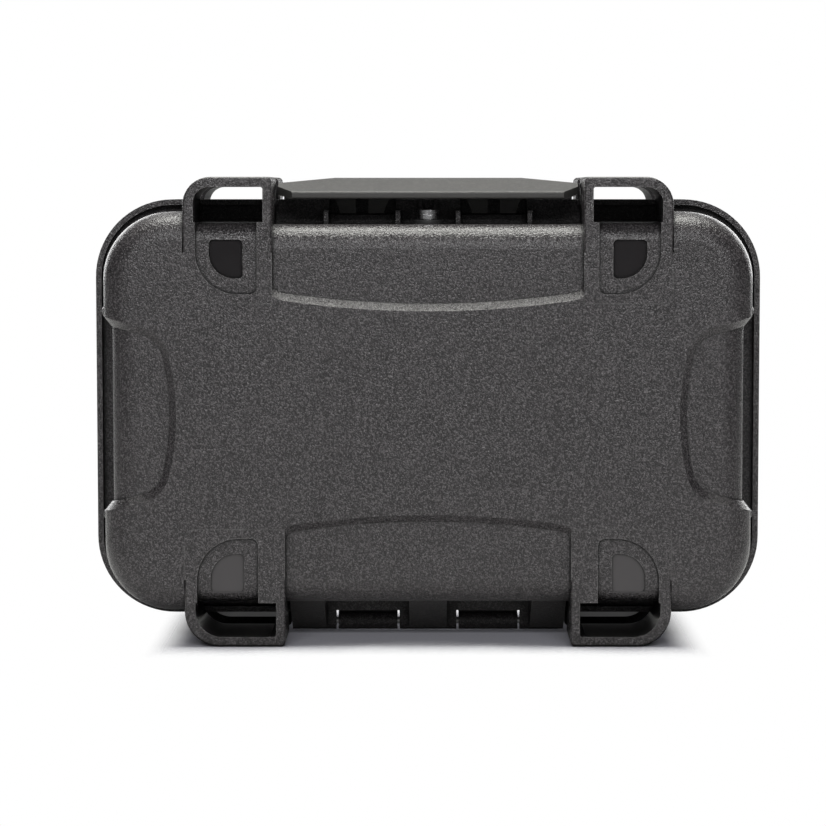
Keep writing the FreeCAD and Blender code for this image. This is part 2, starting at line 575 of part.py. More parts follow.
def make_carved_skin(half):
    """Make a shell's outer skin with its bumper seats, bays and side grips cut away."""
    name, depth = HALF_NAMES[half], DEPTH[half]
    past_face = f"{depth} + overrun"
    high = f"{SHELL_TOP} + overrun"
    skin = round_block(f"{name}_skin", half, depth, "shell_width", "shell_lift", SHELL_TOP,
                       "shell_corner", "shell_edge")
    seats, grips = [], []
    for side in (LEFT, RIGHT):
        for end in ("top", "bottom"):
            outline = seat_outline(side, end)
            edge = "ear_pad_low - ear_seam" if end == "top" else "ear_pad_high + ear_seam"
            rounds = [("ear_pad_corner + ear_seam", [(times(side, "ear_outer + ear_seam"), edge)])]
            label = f"{name}_seat_{end}_{SIDE_NAMES[side]}"
            seats.append(slab(label, half, "0", past_face, [outline], rounds))
        inner = "shell_width / 2 - grip_reach"
        corners = [(inner, "grip_low + grip_slant"), ("shell_width / 2", "grip_low"),
                   ("shell_width / 2 + overrun", "grip_low"), ("shell_width / 2 + overrun", "grip_high"),
                   ("shell_width / 2", "grip_high"), (inner, "grip_high - grip_slant")]
        grip = [(times(side, across), height) for across, height in corners][::side]
        ends = [grip[0], grip[-1]]
        grip[-1] = grip[-1] + ("grip_bow",)
        label = f"{name}_grip_{SIDE_NAMES[side]}"
        grips.append(slab(label, half, "0", past_face, [grip], [("grip_corner", ends)]))
    top_half, bottom_half = "ear_inner_top + sink", "ear_inner_bottom + sink"
    latch_bay = [(times(-1, top_half), "latch_bay_end", "latch_bay_bow"), (top_half, "latch_bay_end"),
                 (top_half, high), (times(-1, top_half), high)]
    hinge_bay = [(times(-1, bottom_half), "-overrun"), (bottom_half, "-overrun"),
                 (bottom_half, "hinge_bay_end", "hinge_bay_bow"), (times(-1, bottom_half), "hinge_bay_end")]
    bays = [slab(f"{name}_latch_bay", half, "0", past_face, [latch_bay], [("bay_corner", latch_bay[:2])]),
            slab(f"{name}_hinge_bay", half, "0", past_face, [hinge_bay], [("bay_corner", hinge_bay[2:])])]
    carved = cut(f"{name}_carved", skin, seats + bays + grips)
    doc.recompute()
    outside = skin.Shape.Shells[0]
    walls = [tool.Shape.Shells[0] for tool in bays + grips]

    def on_step(edge):
        spots = [Part.Vertex(point) for point in edge.discretize(5)[1:4]]
        on_skin = all(outside.distToShape(spot)[0] < NEAR for spot in spots)
        on_wall = any(all(wall.distToShape(spot)[0] < NEAR for spot in spots) for wall in walls)
        return on_skin and on_wall and not all(abs(spot.Point.y) < NEAR for spot in spots)

    sloped = doc.addObject("Part::Chamfer", f"{name}_sloped")
    sloped.Base = carved
    size = value("recess_slope")
    sloped.Edges = [(i, size, size) for i, e in enumerate(carved.Shape.Edges, start=1) if on_step(e)]
    doc.recompute()
    return sloped


def make_lips(half):
    """Make the raised lips at the ends of the side grips."""
    name, depth = HALF_NAMES[half], DEPTH[half]
    lips = []
    for side in (LEFT, RIGHT):
        for end, height in (("low", "grip_low - lip_step"), ("high", "grip_high + lip_step")):
            label = f"{name}_lip_{end}_{SIDE_NAMES[side]}"
            middle = times(side, "shell_width / 2 + lip_proud - lip_radius")
            far = f"{depth} - lip_setback"
            start = "0" if half == LID else times(-1, far)
            lips.append(cylinder(label, "y", start, far, "lip_radius", (middle, height)))
            ball = doc.addObject("Part::Sphere", f"{label}_end")
            ball.setExpression("Radius", bound("lip_radius"))
            for axis, text in zip("xyz", (middle, times(half, far), height)):
                ball.setExpression(f".Placement.Base.{axis}", bound(text))
            lips.append(ball)
    return lips


def make_rim(half):
    """Make a rim flange with its turned edge, broken at the latch and at the hinge."""
    name = HALF_NAMES[half]
    outline = middle_rectangle("rim_width", "rim_lift", RIM_TOP)
    flange = slab(f"{name}_flange", half, "0", "rim_thick", [outline], [("rim_corner", outline)])
    edge = ring(f"{name}_edge", half, "rim_thick - sink", "rim_thick + curb_height",
                "rim_width", "rim_lift", RIM_TOP, "rim_corner", "curb_thick")
    reach = ("rim_thick", "rim_thick + curb_height + overrun")
    spans = [times(half, reach[0]), times(half, reach[1])][::half]
    gaps = [block(f"{name}_edge_gap_latch", "-curb_gap_latch / 2", "curb_gap_latch / 2", *spans,
                  f"{RIM_TOP} - rim_corner", f"{RIM_TOP} + overrun"),
            block(f"{name}_edge_gap_hinge", "-curb_gap_hinge / 2", "curb_gap_hinge / 2", *spans,
                  "0", "rim_lift + rim_corner")]
    return [flange, cut(f"{name}_turned_edge", edge, gaps)]


def make_knuckles(half):
    """Make a shell's hinge knuckles, the webs that carry them and their blocks."""
    name = HALF_NAMES[half]
    inner_end, outer_start = "knuckle_inner - knuckle_gap", "knuckle_outer + knuckle_gap"
    if half == BASE:
        spans = [("middle", times(-1, inner_end), inner_end, "cheek", "cheek"),
                 ("left", "-block_end", times(-1, outer_start), "0", "cheek"),
                 ("right", outer_start, "block_end", "cheek", "0")]
    else:
        spans = [("left", "-knuckle_outer", "-knuckle_inner", "cheek", "cheek"),
                 ("right", "knuckle_inner", "knuckle_outer", "cheek", "cheek")]
    diagonal = "barrel_radius * sqrt(2) / 2"
    wedge = [("0", "hinge_height"), (times(half, diagonal), f"hinge_height - {diagonal}"),
             (times(half, "block_reach"), f"{CORE_LOW} + sink"), ("0", f"{CORE_LOW} + sink")]
    wedge = wedge if half == LID else wedge[::-1]
    items = []
    for tag, left, right, bare_left, bare_right in spans:
        length = f"({right}) - ({left})"
        items.append(cylinder(f"{name}_knuckle_{tag}", "x", left, length, "barrel_radius", HINGE_AXIS))
        webs = [times(half, "0"), times(half, "barrel_radius")][::half]
        items.append(block(f"{name}_web_{tag}", left, right, *webs, "hinge_height", "rim_lift + sink"))
        items.append(prism(f"{name}_block_{tag}", "YZ_Plane", f"({left}) + ({bare_left})",
                           f"{length} - ({bare_left}) - ({bare_right})", [wedge]))
    return items


def make_hinge_bores(name):
    """Make the bores for the two hinge pins."""
    return [side_cylinder(f"{name}_bore_{SIDE_NAMES[side]}", side, "pin_start", "block_end + overrun",
                          "hinge_pin_radius + pin_play", HINGE_AXIS) for side in (LEFT, RIGHT)]


def make_cavity(half):
    """Make the hollow of a shell."""
    floor = f"{DEPTH[half]} - recess_face - wall"
    return round_block(f"{HALF_NAMES[half]}_cavity", half, floor, CAVITY_WIDTH, CAVITY_LOW, CAVITY_HIGH,
                       f"{CORE_CORNER} - wall", f"{CORE_EDGE} - wall")


def seal_ring(name, inner, outer, width):
    """Make a frame that follows the seal line around the rim, on the lid side."""
    inset = f"seal_inset - ({width}) / 2"
    return ring(name, LID, inner, outer, f"rim_width - 2 * ({inset})", f"rim_lift + {inset}",
                f"{RIM_TOP} - ({inset})", f"rim_corner - ({inset})", width)


def make_guard():
    """Make the notched post that stands at the rim behind the purge valve."""
    near, far = "-rim_thick - guard_thick", "-rim_thick + sink"
    length = f"({far}) - ({near})"
    top = f"{CORE_HIGH} + guard_rise"
    dip = f"{top} - guard_notch_depth + guard_notch"
    post = block("guard_post", "-guard_width / 2", "guard_width / 2", near, far, f"{CORE_HIGH} - sink", top)
    notch = join("guard_notch_shape", [
        cylinder("guard_notch_round", "y", f"{near} - sink", f"{length} + 2 * sink", "guard_notch",
                 ("0", dip)),
        block("guard_notch_way", "-guard_notch", "guard_notch", f"{near} - sink", f"{far} + sink", dip,
              f"{top} + sink")])
    return cut("valve_guard", post, [notch])


def make_base_shell():
    """Make the base: skin, rim, tongue, hinge knuckles and the ribs beside the claws."""
    body = [make_carved_skin(BASE), make_core(BASE, "base"), make_guard()]
    body += make_rim(BASE) + make_knuckles(BASE) + make_lips(BASE)
    body.append(seal_ring("base_tongue", "-sink", "tongue_height", "tongue_width"))
    cuts = make_hinge_bores("base") + [make_cavity(BASE)]
    notch_inner = "claw_middle - claw_root / 2 - claw_room"
    notch_outer = "claw_middle + claw_root / 2 + claw_room"
    for side in (LEFT, RIGHT):
        for tag, near, far in (("inner", f"{notch_inner} - cheek_rib", notch_inner),
                               ("outer", notch_outer, f"{notch_outer} + cheek_rib")):
            body.append(side_block(f"claw_rib_{tag}_{SIDE_NAMES[side]}", side, near, far, BASE,
                                   "rim_thick - sink", "rim_thick + cheek_run",
                                   f"{CORE_HIGH} - sink", f"{CORE_HIGH} + cheek_rise"))
        cuts.append(side_block(f"claw_notch_{SIDE_NAMES[side]}", side, notch_inner, notch_outer, BASE, "0",
                               "rim_thick + overrun", "claw_low - claw_room", f"{RIM_TOP} + overrun"))
    cuts.append(cylinder("valve_hole", "z", f"{CAVITY_HIGH} - overrun", "wall + 2 * overrun",
                         "valve_barrel + pin_play", ("0", "-valve_reach")))
    return finish(cut("base_shell", join("base_solid", body), cuts), "base_shell")


def make_lid_shell():
    """Make the lid: skin, rim, seal groove, hinge knuckles and the latch lugs."""
    body = [make_carved_skin(LID), make_core(LID, "lid")]
    body += make_rim(LID) + make_knuckles(LID) + make_lips(LID)
    cuts = make_hinge_bores("lid") + [make_cavity(LID)]
    cuts.append(seal_ring("lid_groove", "-sink", "groove_depth", "groove_width"))
    body.append(block("latch_screen", "-screen_half", "screen_half", "pivot_reach + screen_step",
                      "pivot_reach + screen_step + screen_thick", f"{CORE_HIGH} - sink",
                      "pivot_height - screen_drop"))
    for side in (LEFT, RIGHT):
        name = SIDE_NAMES[side]
        for tag, near, far in LUG_SPANS:
            body.append(side_block(f"latch_lug_{tag}_{name}", side, near, far, LID,
                                   "pivot_reach - pivot_radius", "pivot_reach + pivot_radius",
                                   f"{CORE_HIGH} - sink", "pivot_height"))
            eye = f"latch_lug_eye_{tag}_{name}"
            body.append(side_cylinder(eye, side, near, far, "pivot_radius", PIVOT_AXIS))
        cuts.append(side_cylinder(f"lug_bore_{name}", side, LUG_SPANS[0][1], LUG_SPANS[1][2],
                                  "latch_pin_radius + pin_play", PIVOT_AXIS))
    return finish(cut("lid_shell", join("lid_solid", body), cuts), "lid_shell")


def make_gasket():
    """Make the gasket that lies in the lid's groove."""
    body = seal_ring("gasket_ring", "groove_depth - gasket_height", "groove_depth", "gasket_width")
    face = value("groove_depth - gasket_height")
    round_edges(body, lambda edge: lies_at(edge, face), "gasket_edge")
    return finish(body, "lid_gasket")


def make_lever():
    """Make the latch lever: a bent plate with two claws and two knuckles."""
    under = "lever_top - lever_thick"
    profile = [("-lever_front", "lever_edge_low"), ("-lever_crest", under), ("lever_back", under),
               ("lever_back", "lever_top"), ("-lever_crest", "lever_top"),
               ("-lever_front", "lever_edge_high")]
    soft = [profile[0], profile[5], profile[3]]
    plate = prism("lever_plate", "YZ_Plane", "-lever_half", "2 * lever_half", [profile],
                  [("lever_front - lever_crest", [profile[4]]), ("lever_rounding", soft)])
    trims, extras, bores = [], [], []
    for side in (LEFT, RIGHT):
        name = SIDE_NAMES[side]
        past = "lever_half + sink"
        slope = [("lever_flat", "lever_top"), (past, "lever_top - lever_drop"),
                 (past, "lever_top + overrun"), ("lever_flat", "lever_top + overrun")]
        bevel = [("lever_nose", "-lever_front - sink"), (past, "-lever_front - sink"),
                 (past, "-lever_front + lever_bevel"), ("lever_half", "-lever_front + lever_bevel"),
                 ("lever_nose", "-lever_front")]
        turned = [[(times(side, u), v) for u, v in loop][::side] for loop in (slope, bevel)]
        trims.append(prism(f"lever_slope_{name}", "XZ_Plane", "-lever_front - overrun",
                           "lever_front + lever_back + 2 * overrun", [turned[0]]))
        trims.append(prism(f"lever_bevel_{name}", "XY_Plane", "lever_edge_low - overrun",
                           "lever_top - lever_edge_low + 2 * overrun", [turned[1]]))
        extras.append(side_cylinder(f"lever_knuckle_{name}", side, "arm_inner", "arm_outer",
                                    "pivot_radius", PIVOT_AXIS))
        extras.append(side_block(f"lever_arm_{name}", side, "arm_inner", "arm_outer", LID,
                                 "lever_back - sink", "pivot_reach",
                                 "pivot_height - pivot_radius / 2", "pivot_height + pivot_radius"))
        middle = times(side, "claw_middle")
        root = f"{under} + sink"
        bridge = f"{under} - claw_bridge"
        claw = [(f"{middle} - claw_tip / 2", "claw_low"), (f"{middle} - claw_slot / 2", "claw_low"),
                (f"{middle} - claw_slot / 2", bridge), (f"{middle} + claw_slot / 2", bridge),
                (f"{middle} + claw_slot / 2", "claw_low"), (f"{middle} + claw_tip / 2", "claw_low"),
                (f"{middle} + claw_root / 2", root), (f"{middle} - claw_root / 2", root)]
        extras.append(slab(f"lever_claw_{name}", BASE, "claw_near", "claw_near + claw_thick", [claw]))
        bores.append(side_cylinder(f"lever_bore_{name}", side, "arm_inner - sink", "arm_outer + sink",
                                   "latch_pin_radius + pin_play", PIVOT_AXIS))
    solid = join("lever_solid", [cut("lever_trimmed", plate, trims)] + extras)
    return finish(cut("latch_lever", solid, bores), "latch_lever")


def make_pins():
    """Make the hinge pins and the latch pins."""
    for side in (LEFT, RIGHT):
        name = SIDE_NAMES[side]
        hinge_pin = side_cylinder(f"hinge_pin_{name}", side, "pin_start", "pin_end",
                                  "hinge_pin_radius", HINGE_AXIS)
        latch_pin = side_cylinder(f"latch_pin_{name}", side, LUG_SPANS[0][1], LUG_SPANS[1][2],
                                  "latch_pin_radius", PIVOT_AXIS)
        finish(hinge_pin, f"hinge_pin_{name}")
        finish(latch_pin, f"latch_pin_{name}")


def make_valve():
    """Make the purge valve in the base's latch bay: housing, seal, nut and turning knob."""
    place = ("0", "-valve_reach")
    flange_low = f"{CORE_HIGH} + valve_seal_thick"
    flange_high = f"{flange_low} + valve_flange_thick"
    nut_low = f"{CAVITY_HIGH} - valve_nut_thick"
    housing_low = f"{nut_low} - valve_tail"
    barrel_length = f"({flange_high}) - ({housing_low})"
    housing = join("valve_housing_solid", [
        cylinder("valve_flange_disc", "z", flange_low, "valve_flange_thick", "valve_flange", place),
        cylinder("valve_barrel_rod", "z", housing_low, barrel_length, "valve_barrel", place)])
    bore = cylinder("valve_bore", "z", f"{housing_low} - sink", f"{barrel_length} + 2 * sink",
                    "valve_stem + valve_play", place)
    finish(cut("purge_valve_housing", housing, [bore]), "purge_valve_housing")
    washer = cylinder("valve_seal_disc", "z", CORE_HIGH, "valve_seal_thick", "valve_flange", place)
    washer_hole = cylinder("valve_seal_hole", "z", f"{CORE_HIGH} - sink", "valve_seal_thick + 2 * sink",
                           "valve_barrel + pin_play", place)
    finish(cut("purge_valve_seal", washer, [washer_hole]), "purge_valve_seal")
    nut = doc.addObject("Part::Prism", "valve_nut_body")
    nut.Polygon = 6
    nut.setExpression("Circumradius", bound("valve_nut"))
    nut.setExpression("Height", bound("valve_nut_thick"))
    for axis, text in zip("xyz", place + (nut_low,)):
        nut.setExpression(f".Placement.Base.{axis}", bound(text))
    nut_hole = cylinder("valve_nut_hole", "z", f"{nut_low} - sink", "valve_nut_thick + 2 * sink",
                        "valve_barrel + pin_play", place)
    finish(cut("purge_valve_nut", nut, [nut_hole]), "purge_valve_nut")
    knob_low = f"{flange_high} + valve_knob_gap"
    keeper_low = f"{housing_low} - valve_knob_gap - valve_keeper_thick"
    knob = cylinder("valve_knob_cap", "z", knob_low, "valve_knob_height", "valve_knob", place)
    stem_length = f"({knob_low}) - ({keeper_low}) + sink"
    stem = cylinder("valve_stem_rod", "z", keeper_low, stem_length, "valve_stem", place)
    keeper = cylinder("valve_keeper_disc", "z", keeper_low, "valve_keeper_thick", "valve_keeper", place)
    finish(join("purge_valve_knob", [knob, stem, keeper]), "purge_valve_knob")


def make_foam(half, thick):
    """Make a foam pad on the floor of a shell."""
    floor = f"{DEPTH[half]} - recess_face - wall"
    outline = middle_rectangle(f"{CAVITY_WIDTH} - 2 * foam_inset", f"{CAVITY_LOW} + foam_inset",
                               f"{CAVITY_HIGH} - foam_inset")
    label = f"{HALF_NAMES[half]}_foam"
    pad = slab(label, half, f"{floor} - ({thick})", floor, [outline], [("foam_corner", outline)])
    return finish(pad, label)


make_base_shell()
make_lid_shell()
for half in (BASE, LID):
    for end in ("top", "bottom"):
        for side in (LEFT, RIGHT):
            make_bumper(half, side, end)
make_gasket()
make_lever()
make_pins()
make_valve()
make_foam(BASE, "base_foam_thick")
make_foam(LID, "lid_foam_thick")
doc.recompute()

for item in doc.Objects:
    if "Invalid" in item.State or "Error" in item.State:
        raise RuntimeError(f"{item.Name} did not build: {item.State}")
for item in FINISHED:
    if item.Shape.isNull() or not item.Shape.isValid() or len(item.Shape.Solids) != 1:
        raise RuntimeError(f"{item.Label} is not one valid solid")
    item.Shape.exportStep(f"parts/{item.Label}.step")
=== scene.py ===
"""Looks of a compact protective hard case that stands on its hinge edge.

The shells, bumpers, latch lever, pins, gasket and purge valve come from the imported
model and are dressed here. The foam pads are made here.
"""

import logging
import math
from dataclasses import dataclass, field
from enum import Enum
from typing import Optional, Sequence, Union

import bmesh
import bpy
from bpy.types import Material, Mesh, NodeOutputs, NodeSocket, NodeTree, Object
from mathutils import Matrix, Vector


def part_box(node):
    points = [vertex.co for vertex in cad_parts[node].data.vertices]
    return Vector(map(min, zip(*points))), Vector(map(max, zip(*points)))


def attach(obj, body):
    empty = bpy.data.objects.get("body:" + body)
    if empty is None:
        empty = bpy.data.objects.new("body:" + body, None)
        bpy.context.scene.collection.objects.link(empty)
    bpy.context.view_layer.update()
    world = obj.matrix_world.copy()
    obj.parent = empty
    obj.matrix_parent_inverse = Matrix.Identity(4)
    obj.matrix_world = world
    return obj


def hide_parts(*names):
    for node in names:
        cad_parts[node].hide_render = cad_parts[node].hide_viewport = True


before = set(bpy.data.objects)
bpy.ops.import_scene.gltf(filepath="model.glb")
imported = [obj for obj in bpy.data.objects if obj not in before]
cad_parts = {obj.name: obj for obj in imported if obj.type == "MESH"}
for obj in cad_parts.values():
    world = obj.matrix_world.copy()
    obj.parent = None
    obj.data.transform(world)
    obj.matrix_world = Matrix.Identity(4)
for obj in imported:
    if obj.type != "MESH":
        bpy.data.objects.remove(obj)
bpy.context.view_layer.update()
LOG = logging.getLogger("protective_case")

Colour = tuple[float, float, float, float]
Place = tuple[float, float, float]
Span = tuple[float, float]
Feed = Union[NodeSocket, float, int, bool, tuple, Material]
Sockets = dict[str, NodeSocket]


class Body(str, Enum):
    """Bodies of the case that hold a foam pad."""

    BASE = "base"
    LID = "lid"


class Finish(str, Enum):
    """Finishes of the case, named as its material slots are."""

    SHELL = "shell_plastic"
    BUMPER = "bumper_plastic"
    LEVER = "lever_plastic"
    GASKET = "gasket_rubber"
    PIN = "pin_steel"
    VALVE = "valve_plastic"
    KNOB = "valve_metal"
    FOAM = "foam"


class Ray(str, Enum):
    """Kinds of ray that the floor and the surround tell apart."""

    CAMERA = "Is Camera Ray"
    THROUGH = "Is Transmission Ray"
    SHADOW = "Is Shadow Ray"


def grey(level: float) -> Colour:
    """Give a neutral colour at one level."""
    return (level, level, level, 1.0)


def put(name: str, data: bpy.types.ID) -> Object:
    """Add an object to the scene.

    Args:
        name: Its name.
        data: The mesh, lamp or camera that it shows.

    Returns:
        The new object.
    """
    piece = bpy.data.objects.new(name, data)
    bpy.context.scene.collection.objects.link(piece)
    return piece


class NodeSheet:
    """A node tree that is filled in from code."""

    def __init__(self, tree: NodeTree) -> None:
        """Start with an existing tree."""
        self.tree = tree

    def feed(self, socket: NodeSocket, source: Feed) -> None:
        """Link a socket to another one, or set its value.

        Args:
            socket: The input to fill.
            source: An output to link from, or a plain value.
        """
        if isinstance(source, NodeSocket):
            self.tree.links.new(source, socket)
        else:
            socket.default_value = source

    def add(self, kind: str, feeds: Optional[dict[Union[str, int], Feed]] = None,
            **settings: object) -> NodeOutputs:
        """Add a node.

        Args:
            kind: Blender's name of the node type.
            feeds: Inputs to link or set, by name or number.
            settings: Properties of the node.

        Returns:
            The new node's outputs.
        """
        node = self.tree.nodes.new(kind)
        for name, setting in settings.items():
            setattr(node, name, setting)
        for name, source in (feeds or {}).items():
            self.feed(node.inputs[name], source)
        return node.outputs

    def maths(self, operation: str, *sources: Feed, clamp: bool = False) -> NodeSocket:
        """Combine numbers.

        Args:
            operation: The sum to do.
            sources: Its numbers, as outputs or plain values.
            clamp: Whether the result is kept between 0 and 1.

        Returns:
            The output with the result.
        """
        feeds = dict(enumerate(sources))
        return self.add("ShaderNodeMath", feeds, operation=operation, use_clamp=clamp)[0]

    def vector(self, operation: str, *sources: Feed) -> NodeSocket:
        """Combine vectors.

        Args:
            operation: The sum to do.
            sources: Its vectors, as outputs or plain values.

        Returns:
            The output with the result, a number where the sum gives one.
        """
        made = self.add("ShaderNodeVectorMath", dict(enumerate(sources)), operation=operation)
        return made["Value" if operation in {"DOT_PRODUCT", "LENGTH"} else "Vector"]

    def step(self, source: Feed, low: Feed, high: Feed, start: float = 0.0,
             stop: float = 1.0) -> NodeSocket:
        """Turn a number into a smooth step.

        Args:
            source: The number.
            low: Where the step starts.
            high: Where the step ends.
            start: Result before the step.
            stop: Result after the step.

        Returns:
            The output with the stepped number.
        """
        feeds = {"Value": source, "From Min": low, "From Max": high,
                 "To Min": start, "To Max": stop}
        return self.add("ShaderNodeMapRange", feeds, interpolation_type="SMOOTHSTEP")[0]

    def mix(self, share: Feed, first: Feed, second: Feed) -> NodeSocket:
        """Mix two colours.

        Args:
            share: Share of the second colour.
            first: The colour underneath.
            second: The colour laid over it.

        Returns:
            The output with the mixed colour.
        """
        return self.add("ShaderNodeMix", {0: share, 6: first, 7: second}, data_type="RGBA")[2]

    def noise(self, place: Feed, scale: Feed, detail: float, rough: float) -> NodeSocket:
        """Add a noise.

        Args:
            place: Coordinates that it reads.
            scale: Its fineness, in cells to the metre.
            detail: Number of finer layers.
            rough: Strength of the finer layers.

        Returns:
            The output with the noise, around 0.5.
        """
        feeds = {"Vector": place, "Scale": scale, "Detail": detail, "Roughness": rough}
        return self.add("ShaderNodeTexNoise", feeds)[0]

    def cells(self, place: Feed, scale: Feed) -> NodeSocket:
        """Add a pattern of cells.

        Args:
            place: Coordinates that it reads.
            scale: Its fineness, in cells to the metre.

        Returns:
            The output with the distance to the nearest cell's middle.
        """
        feeds = {"Vector": place, "Scale": scale}
        return self.add("ShaderNodeTexVoronoi", feeds, feature="F1")["Distance"]

    def group(self, tree: NodeTree, **feeds: Feed) -> NodeOutputs:
        """Place a shared effect.

        Args:
            tree: The effect's node group.
            feeds: Its inputs, by name.

        Returns:
            The effect's outputs.
        """
        return self.add("ShaderNodeGroup", feeds, node_tree=tree)


class Effect(NodeSheet):
    """A shader effect that several materials share, built once as a node group.

    Noises are given as cells to the metre, finer layers and the layers' strength.
    """

    name = "effect"
    inputs: dict[str, str] = {}
    outputs: dict[str, str] = {}

    def __init__(self) -> None:
        """Make the group with its named sockets and fill it in."""
        super().__init__(bpy.data.node_groups.new(self.name, "ShaderNodeTree"))
        face = self.tree.interface
        for names, way in ((self.inputs, "INPUT"), (self.outputs, "OUTPUT")):
            for name, kind in names.items():
                face.new_socket(name=name, in_out=way, socket_type=f"NodeSocket{kind}")
        self.given = self.add("NodeGroupInput")
        self.add("NodeGroupOutput", self.fill())

    def fill(self) -> Sockets:
        """Add the effect's nodes.

        Returns:
            What each of its outputs gives.
        """
        raise NotImplementedError


class MouldedGrain(Effect):
    """Pebbled grain that a spark-eroded mould leaves on plastic."""

    name = "moulded_grain"
    inputs = {"Vector": "Vector", "Scale": "Float"}
    outputs = {"Height": "Float", "PaintedGlint": "Float"}
    speckle_scales = (0.8, 1.6)
    speckle_layers = (2.0, 0.6)
    speckle_height = 1.4
    crown_span = (0.1, 0.62)
    crown_height = 0.45
    crown_light = 0.08
    glint_span = (0.38, 0.7)
    glint_power = 1.7

    def fill(self) -> Sockets:
        """Add pebbles, fine noise and painted glints on the pebbles' crowns.

        Returns:
            The grain's height and its painted glints.
        """
        place, scale = self.given["Vector"], self.given["Scale"]
        halves = []
        for share in self.speckle_scales:
            noise = self.noise(place, self.maths("MULTIPLY", scale, share), *self.speckle_layers)
            halves.append(self.maths("MULTIPLY", noise, 0.5))
        speckle = self.maths("ADD", *halves)
        crown = self.step(self.cells(place, scale), *self.crown_span, 1.0, 0.0)
        rise = self.maths("MULTIPLY", speckle, self.speckle_height)
        height = self.maths("MULTIPLY_ADD", crown, self.crown_height, rise)
        bright = self.maths("MULTIPLY_ADD", crown, self.crown_light, speckle)
        # Pale specks on the pebbles' crowns: painted glints of light catching the grain.
        painted_glint = self.maths("POWER", self.step(bright, *self.glint_span), self.glint_power)
        return {"Height": height, "PaintedGlint": painted_glint}


class ToneDrift(Effect):
    """Slow change of colour and gloss over a surface, with faint cloudy patches."""

    name = "tone_drift"
    inputs = {"Vector": "Vector", "Colour": "Color", "Spread": "Float", "Roughness": "Float"}
    outputs = {"Colour": "Color", "Roughness": "Float"}
    wide_cloud, wide_share = (16.0, 2.0, 0.55), 0.62
    close_cloud, close_share = (95.0, 3.0, 0.6), 0.38
    colour_gain = 3.0

    def fill(self) -> Sockets:
        """Add two sizes of cloud.

        Returns:
            The drifting colour and roughness.
        """
        place, spread = self.given["Vector"], self.given["Spread"]
        wide = self.maths("MULTIPLY", self.noise(place, *self.wide_cloud), self.wide_share)
        close = self.maths("MULTIPLY", self.noise(place, *self.close_cloud), self.close_share)
        swing = self.maths("SUBTRACT", self.maths("ADD", wide, close), 0.5)
        gain = self.maths("MULTIPLY", spread, self.colour_gain)
        tinted = self.vector("SCALE", self.given["Colour"])
        self.feed(tinted.node.inputs["Scale"], self.maths("MULTIPLY_ADD", swing, gain, 1.0))
        rough = self.maths("MULTIPLY_ADD", swing, spread, self.given["Roughness"], clamp=True)
        return {"Colour": tinted, "Roughness": rough}


class EdgeRub(Effect):
    """Edges that handling has rubbed paler and smoother."""

    name = "edge_rub"
    inputs = {"Vector": "Vector", "Width": "Float", "Strength": "Float"}
    outputs = {"Mask": "Float"}
    bend_span = (0.02, 0.22)
    patch_noise = (210.0, 3.0, 0.65)
    patch_span = (0.38, 0.62)
    patch_least = 0.25

    def fill(self) -> Sockets:
        """Compare the true normal with a rounded one, broken up by noise.

        Returns:
            The rubbed mask.
        """
        rounded = self.add("ShaderNodeBevel", {"Radius": self.given["Width"]}, samples=4)[0]
        true = self.add("ShaderNodeNewGeometry")["Normal"]
        bend = self.maths("SUBTRACT", 1.0, self.vector("DOT_PRODUCT", rounded, true))
        patches = self.noise(self.given["Vector"], *self.patch_noise)
        patchy = self.step(patches, *self.patch_span, self.patch_least, 1.0)
        edge = self.maths("MULTIPLY", self.step(bend, *self.bend_span), patchy)
        return {"Mask": self.maths("MULTIPLY", edge, self.given["Strength"], clamp=True)}


class CreviceShade(Effect):
    """Painted shade: darkness at the foot of steps, between pieces and in deep pockets."""

    name = "crevice_shade"
    inputs = {"Reach": "Float", "Dark": "Float", "Clear": "Float", "Strength": "Float"}
    outputs = {"Mask": "Float"}

    def fill(self) -> Sockets:
        """Find what lies close to another surface.

        Returns:
            The crevice mask.
        """
        given = self.given
        reach = {"Distance": given["Reach"]}
        near = self.add("ShaderNodeAmbientOcclusion", reach, samples=6)["AO"]
        mask = self.step(near, given["Dark"], given["Clear"], 1.0, 0.0)
        return {"Mask": self.maths("MULTIPLY", mask, given["Strength"])}


class SettledDust(Effect):
    """Thin dust on what faces up."""

    name = "settled_dust"
    inputs = {"Vector": "Vector", "Facing": "Vector", "Strength": "Float"}
    outputs = {"Mask": "Float"}
    up_span = (0.25, 0.95)
    speck_noise = (620.0, 4.0, 0.7)
    speck_span = (0.42, 0.72)

    def fill(self) -> Sockets:
        """Take what faces up and scatter it with noise.

        Returns:
            The dust mask.
        """
        up = self.vector("DOT_PRODUCT", self.given["Facing"], (0.0, 0.0, 1.0))
        specks = self.step(self.noise(self.given["Vector"], *self.speck_noise), *self.speck_span)
        dust = self.maths("MULTIPLY", self.step(up, *self.up_span), specks)
        return {"Mask": self.maths("MULTIPLY", dust, self.given["Strength"], clamp=True)}


class DrawingLines(Effect):
    """Fine lines that run one way."""

    name = "drawing_lines"
    inputs = {"Vector": "Vector", "Stretch": "Vector"}
    outputs = {"Mask": "Float"}
    line_noise = (1.0, 4.0, 0.7)
    line_span = (0.56, 0.7)

    def fill(self) -> Sockets:
        """Stretch a noise and keep its crests.

        Returns:
            The mask of the lines.
        """
        drawn = self.vector("MULTIPLY", self.given["Vector"], self.given["Stretch"])
        return {"Mask": self.step(self.noise(drawn, *self.line_noise), *self.line_span)}


